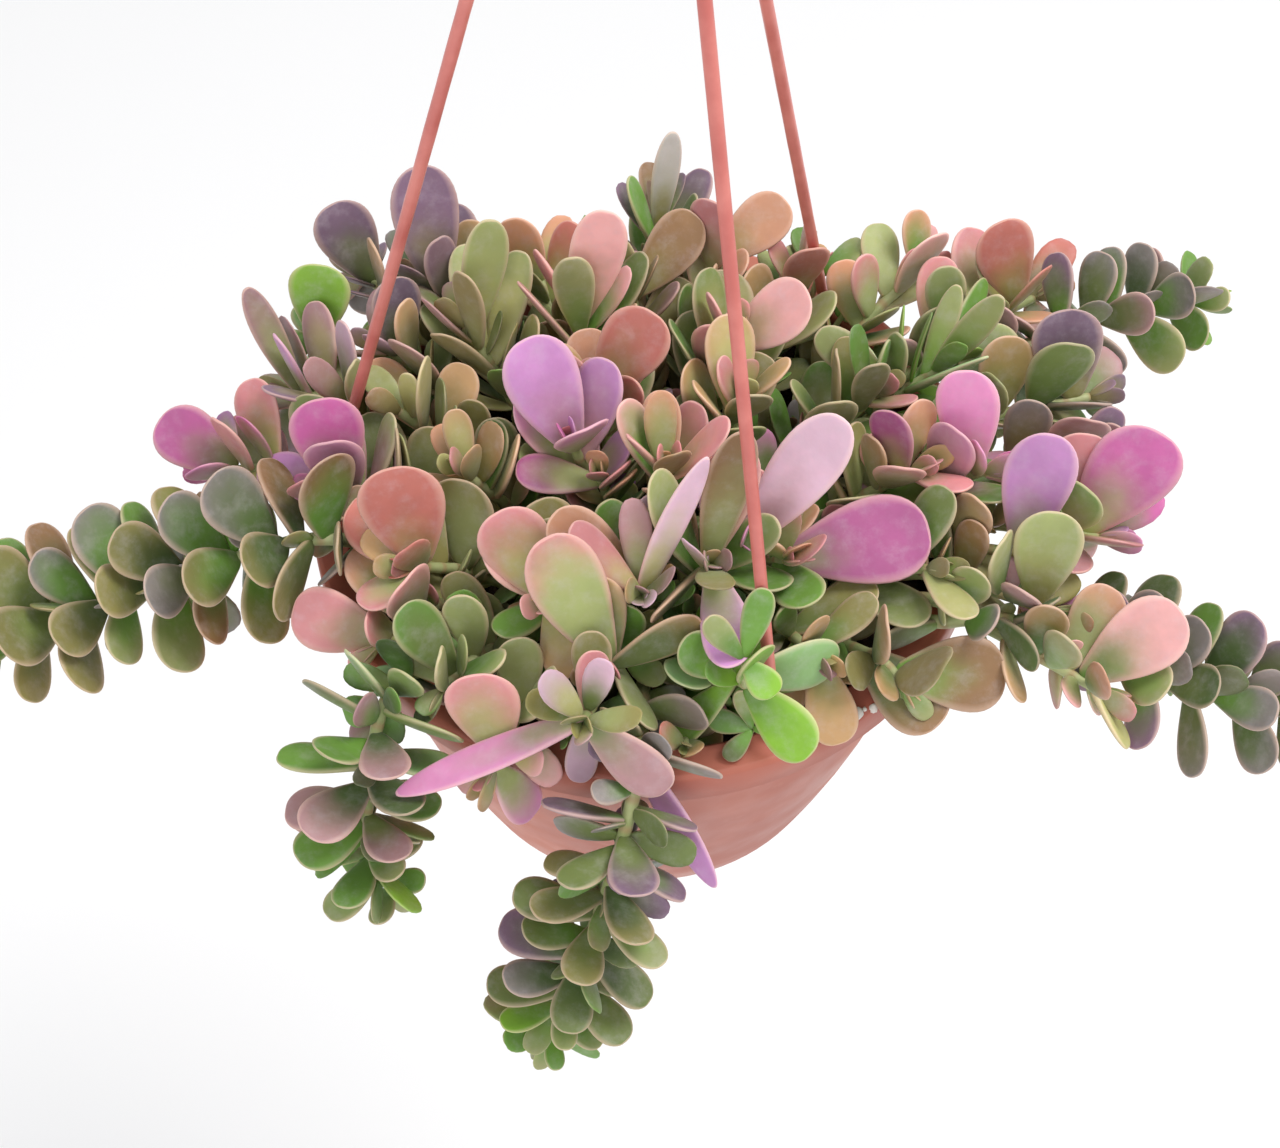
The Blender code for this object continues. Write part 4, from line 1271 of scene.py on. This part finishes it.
def fill_stem(node, line, leaves):
    """Small leaves all the way down one stem, each pair turned about a quarter from the last."""
    draw = random.Random(node + " fill")
    lengths = sorted(leaf.length for leaf in leaves)
    length = lengths[len(lengths) // 2]
    width = sorted(leaf.width for leaf in leaves)[len(leaves) // 2]
    made = []
    side = (line[-1] - line[-2]).orthogonal().normalized()
    for k, (base, way) in enumerate(even_points(line, FILL_STEP)):
        if base.z < RIM_Z - SOIL_DROP + LOWEST_FILL and base.xy.length < RIM_R:
            break
        side = (side - way * side.dot(way)).normalized()
        across = side if k % 2 else way.cross(side)
        made += fill_pair(base, way, across, length, width, k // 2, draw)
    return made


FILLERS = {node: fill_stem(node, line, leaves) for node, (line, leaves) in STEMS.items()}
print("small leaves", sum(len(made) for made in FILLERS.values()))

# %% [markdown]
# ## Shoots
#
# Short young shoots stand between the stems and hide the soil. Spots are tried by chance, and a shoot
# stands where it keeps clear of the other stems and finds room for three leaves or more.

# %% Plant the shoots
SMOOTH_STEPS = 3
SHOOT_TRIES = 500
SHOOT_GAP = 8 * MM
SHOOT_STEP = 5 * MM
SHOOT_R = 1.5 * MM
SHOOT_TOP = RIM_Z + 30 * MM
SHOOT_HEIGHTS = (16, 40)
SHOOT_LEAN = 0.22
SHOOT_BEND = 5
SHOOT_LEAF = (22 * MM, 14 * MM)
SHOOT_FOOT = 3 * MM
SHOOT_EDGE = 6 * MM
LEAST_LEAVES = 3
QUARTERS = (0.0, 0.25, 0.5, 0.75, 1.0)


def smooth_line(points):
    """A smooth line through the middles of a stem's rings."""
    ends = [points[0] * 2 - points[1]] + points + [points[-1] * 2 - points[-2]]
    line = []
    for a, b, c, d in zip(ends, ends[1:], ends[2:], ends[3:]):
        for k in range(SMOOTH_STEPS):
            t = k / SMOOTH_STEPS
            bent = (2 * a - 5 * b + 4 * c - d) * t * t + (3 * b - a - 3 * c + d) * t ** 3
            line.append((2 * b + (c - a) * t + bent) * 0.5)
    line.append(points[-1].copy())
    return line


def shoot_line(spot, height, draw):
    """A short stem, slightly bent outward."""
    stray = Vector([draw.uniform(-SHOOT_BEND, SHOOT_BEND) for axis in "xy"] + [0])
    out = Vector((spot.x, spot.y, 0)) * SHOOT_LEAN + stray * MM
    return [spot + out * (t * t) + UP * (height * t - SHOOT_FOOT) for t in QUARTERS]


def plant_shoots():
    """Short stems with small leaves, wherever the soil shows between the others."""
    draw = random.Random(29)
    taken = [point for line, leaves in STEMS.values() for point in smooth_line(line) if point.z < SHOOT_TOP]
    shoots = []
    for trial in range(SHOOT_TRIES):
        turn = draw.uniform(0, math.tau)
        reach = (RIM_R - LIP_WIDTH - SHOOT_EDGE) * math.sqrt(draw.random())
        spot = Vector((reach * math.cos(turn), reach * math.sin(turn), RIM_Z - SOIL_DROP))
        line = shoot_line(spot, draw.uniform(*SHOOT_HEIGHTS) * MM, draw)
        if any((point - other).length < SHOOT_GAP for point in line[1:] for other in taken):
            continue
        run = line[-1] - line[1]
        if room.solids.ray_cast(line[1], run.normalized(), run.length)[0]:
            continue
        leaves = []
        side = Vector((math.cos(turn), math.sin(turn), 0))
        for k, (base, way) in enumerate(even_points(line, SHOOT_STEP)):
            across = side if k % 2 else way.cross(side).normalized()
            leaves += fill_pair(base, way, across, *SHOOT_LEAF, k, draw)
        if len(leaves) >= LEAST_LEAVES:
            shoots.append((line, leaves))
            taken += line
    return shoots


SHOOTS = plant_shoots()
print("shoots", len(SHOOTS), "with leaves", sum(len(leaves) for line, leaves in SHOOTS))

# %% [markdown]
# ## Leafy stems
#
# The stem is a swept rod that follows the middle of its solid, with a slight ring where each pair of
# leaves stands. The newest leaves, 7 to 15 millimetres long, close the tip, except where a sprig stands.
# Each leafy stem becomes one piece that stands for its solid. The shoots become two pieces, left and
# right, and the sprigs one.

# %% Grow the stems
STEM_R = 2.7 * MM
STEM_TIP_R = 1.7 * MM
STEM_CORNERS = 8
SHOOT_TAPER = 0.7
SPRIG_TAPER = 0.8
SPRIG_TURN = 0.1
THIRDS = (0.0, 0.33, 0.67, 1.0)
YOUNG = ((15.0, 8.5, 0), (10.5, 6.0, 90), (7.0, 4.0, 0))
YOUNG_SINK = 1.5 * MM
CROWNED = ("bright_m", "green_left")


def young_leaves(line, leaves, draw):
    """Pairs of new leaves at the tip, each pair turned a quarter from the last."""
    way = (line[-1] - line[-2]).normalized()
    out = leaves[0].along - way * leaves[0].along.dot(way) if leaves else way.orthogonal()
    out = out.normalized() if out.length > 0.1 else way.orthogonal().normalized()
    made = []
    for length, width, turn in YOUNG:
        for half_turn in (90, 270):
            side = Matrix.Rotation(math.radians(turn + half_turn + draw.uniform(-15, 15)), 3, way) @ out
            along = (way + side * draw.uniform(0.25, 0.5)).normalized()
            face = (way * side.dot(along) - side * way.dot(along)).normalized()
            face = (face - along * face.dot(along)).normalized()
            base = line[-1] - way * YOUNG_SINK
            size = draw.uniform(0.85, 1.15) * MM
            made.append(Leaf(base, along, face, length * size, width * size, draw.uniform(0.05, 0.15)))
    return made


def new_layers(bm):
    """The attributes that the skins read, four numbers and two colours, and the leaf's own map."""
    kinds = [bm.verts.layers.float] * 4 + [bm.verts.layers.float_color] * 2
    layers = {name: kind.new(name) for name, kind in zip(CARRIED, kinds)}
    layers["map"] = bm.loops.layers.uv.new("blade")
    return layers


def add_rod(bm, layers, line, thick, thin):
    """A stem in a bmesh, with a slight ring where each pair of leaves stands."""
    path = smooth_line(line)
    first = len(bm.verts)
    radii = []
    for k in range(len(path)):
        ring = k % SMOOTH_STEPS == 0 and k >= 2 * SMOOTH_STEPS
        radii.append((thick + (thin - thick) * k / len(path)) * (1.10 if ring else 0.98))
    sweep_into(bm, path, radii, STEM_CORNERS)
    bm.verts.ensure_lookup_table()
    for k, vert in enumerate(bm.verts[first:]):
        step = k // STEM_CORNERS
        vert[layers["edge"]] = 1.0 if step % SMOOTH_STEPS == 0 and step >= 2 * SMOOTH_STEPS else 0.0
        for face in vert.link_faces:
            face.material_index = 1


def stem_leaves(node, line, leaves, draw):
    """The large leaves of a stem, the small ones and the young ones at its tip, each with its paint."""
    stem = node[5:]
    for number, leaf in enumerate(leaves):
        yield leaf, paints_of(stem, number, leaf, draw), LARGE_LAYOUT
    young = [] if stem in CROWNED else young_leaves(line, leaves, draw)
    for leaf in FILLERS[node] + young:
        yield leaf, paints_of(stem, len(leaves), leaf, draw), SMALL_LAYOUT


def shoot_leaves(shoots, draw):
    """The leaves of some shoots with their paints, and the newest pair of each."""
    for line, leaves in shoots:
        hues = TIPS[draw.choice(sorted(TIPS))][:2]
        for leaf in leaves + young_leaves(line, leaves, draw)[-2:]:
            foot = draw.choice(("leaf", "sage", "moss", "leaf"))
            tip = draw.choice(("sage", "olive", "leaf", "tan", "leaf") + hues)
            yield leaf, (shade(foot, draw), shade(tip, draw), draw.uniform(-0.2, 0.1)), SMALL_LAYOUT


def painted_sprigs(draw):
    """The leaves of the sprigs that are listed one by one."""
    for made in SPRIG_LEAVES:
        for leaf, paint in made:
            yield leaf, (shade("leaf", draw), shade(paint, draw), SPRIG_TURN), LARGE_LAYOUT


def grow(name, rods, leaves, draw, nodes):
    """One piece of rods and painted leaves."""
    bm = bmesh.new()
    layers = new_layers(bm)
    for line, thick, thin in rods:
        add_rod(bm, layers, line, thick, thin)
    for leaf, paint, layout in leaves:
        add_leaf(bm, layers, leaf, paint, draw, layout)
    return finish_piece(name, bm, [leaf_material, stem_material], nodes, rounds=1)


for node, (line, leaves) in STEMS.items():
    chance = random.Random(node)
    grown = stem_leaves(node, line, leaves, chance)
    grow("leafy_" + node[5:], [(line, STEM_R, STEM_TIP_R)], grown, chance, [node])
for side, shoots in (("left", [shoot for shoot in SHOOTS if shoot[0][0].x < 0]),
                     ("right", [shoot for shoot in SHOOTS if shoot[0][0].x >= 0])):
    chance = random.Random("young_shoots_" + side)
    stalks = [(line, SHOOT_R, SHOOT_R * SHOOT_TAPER) for line, leaves in shoots]
    grow("young_shoots_" + side, stalks, shoot_leaves(shoots, chance), chance, [])
chance = random.Random(37)
stalks = []
for foot, top, tips in SPRIGS:
    foot, top = Vector(foot) * MM, Vector(top) * MM
    stalks.append(([foot.lerp(top, t) for t in THIRDS], SHOOT_R, SHOOT_R * SPRIG_TAPER))
grow("green_sprigs", stalks, painted_sprigs(chance), chance, [])
print("leafy stems", len(STEMS))
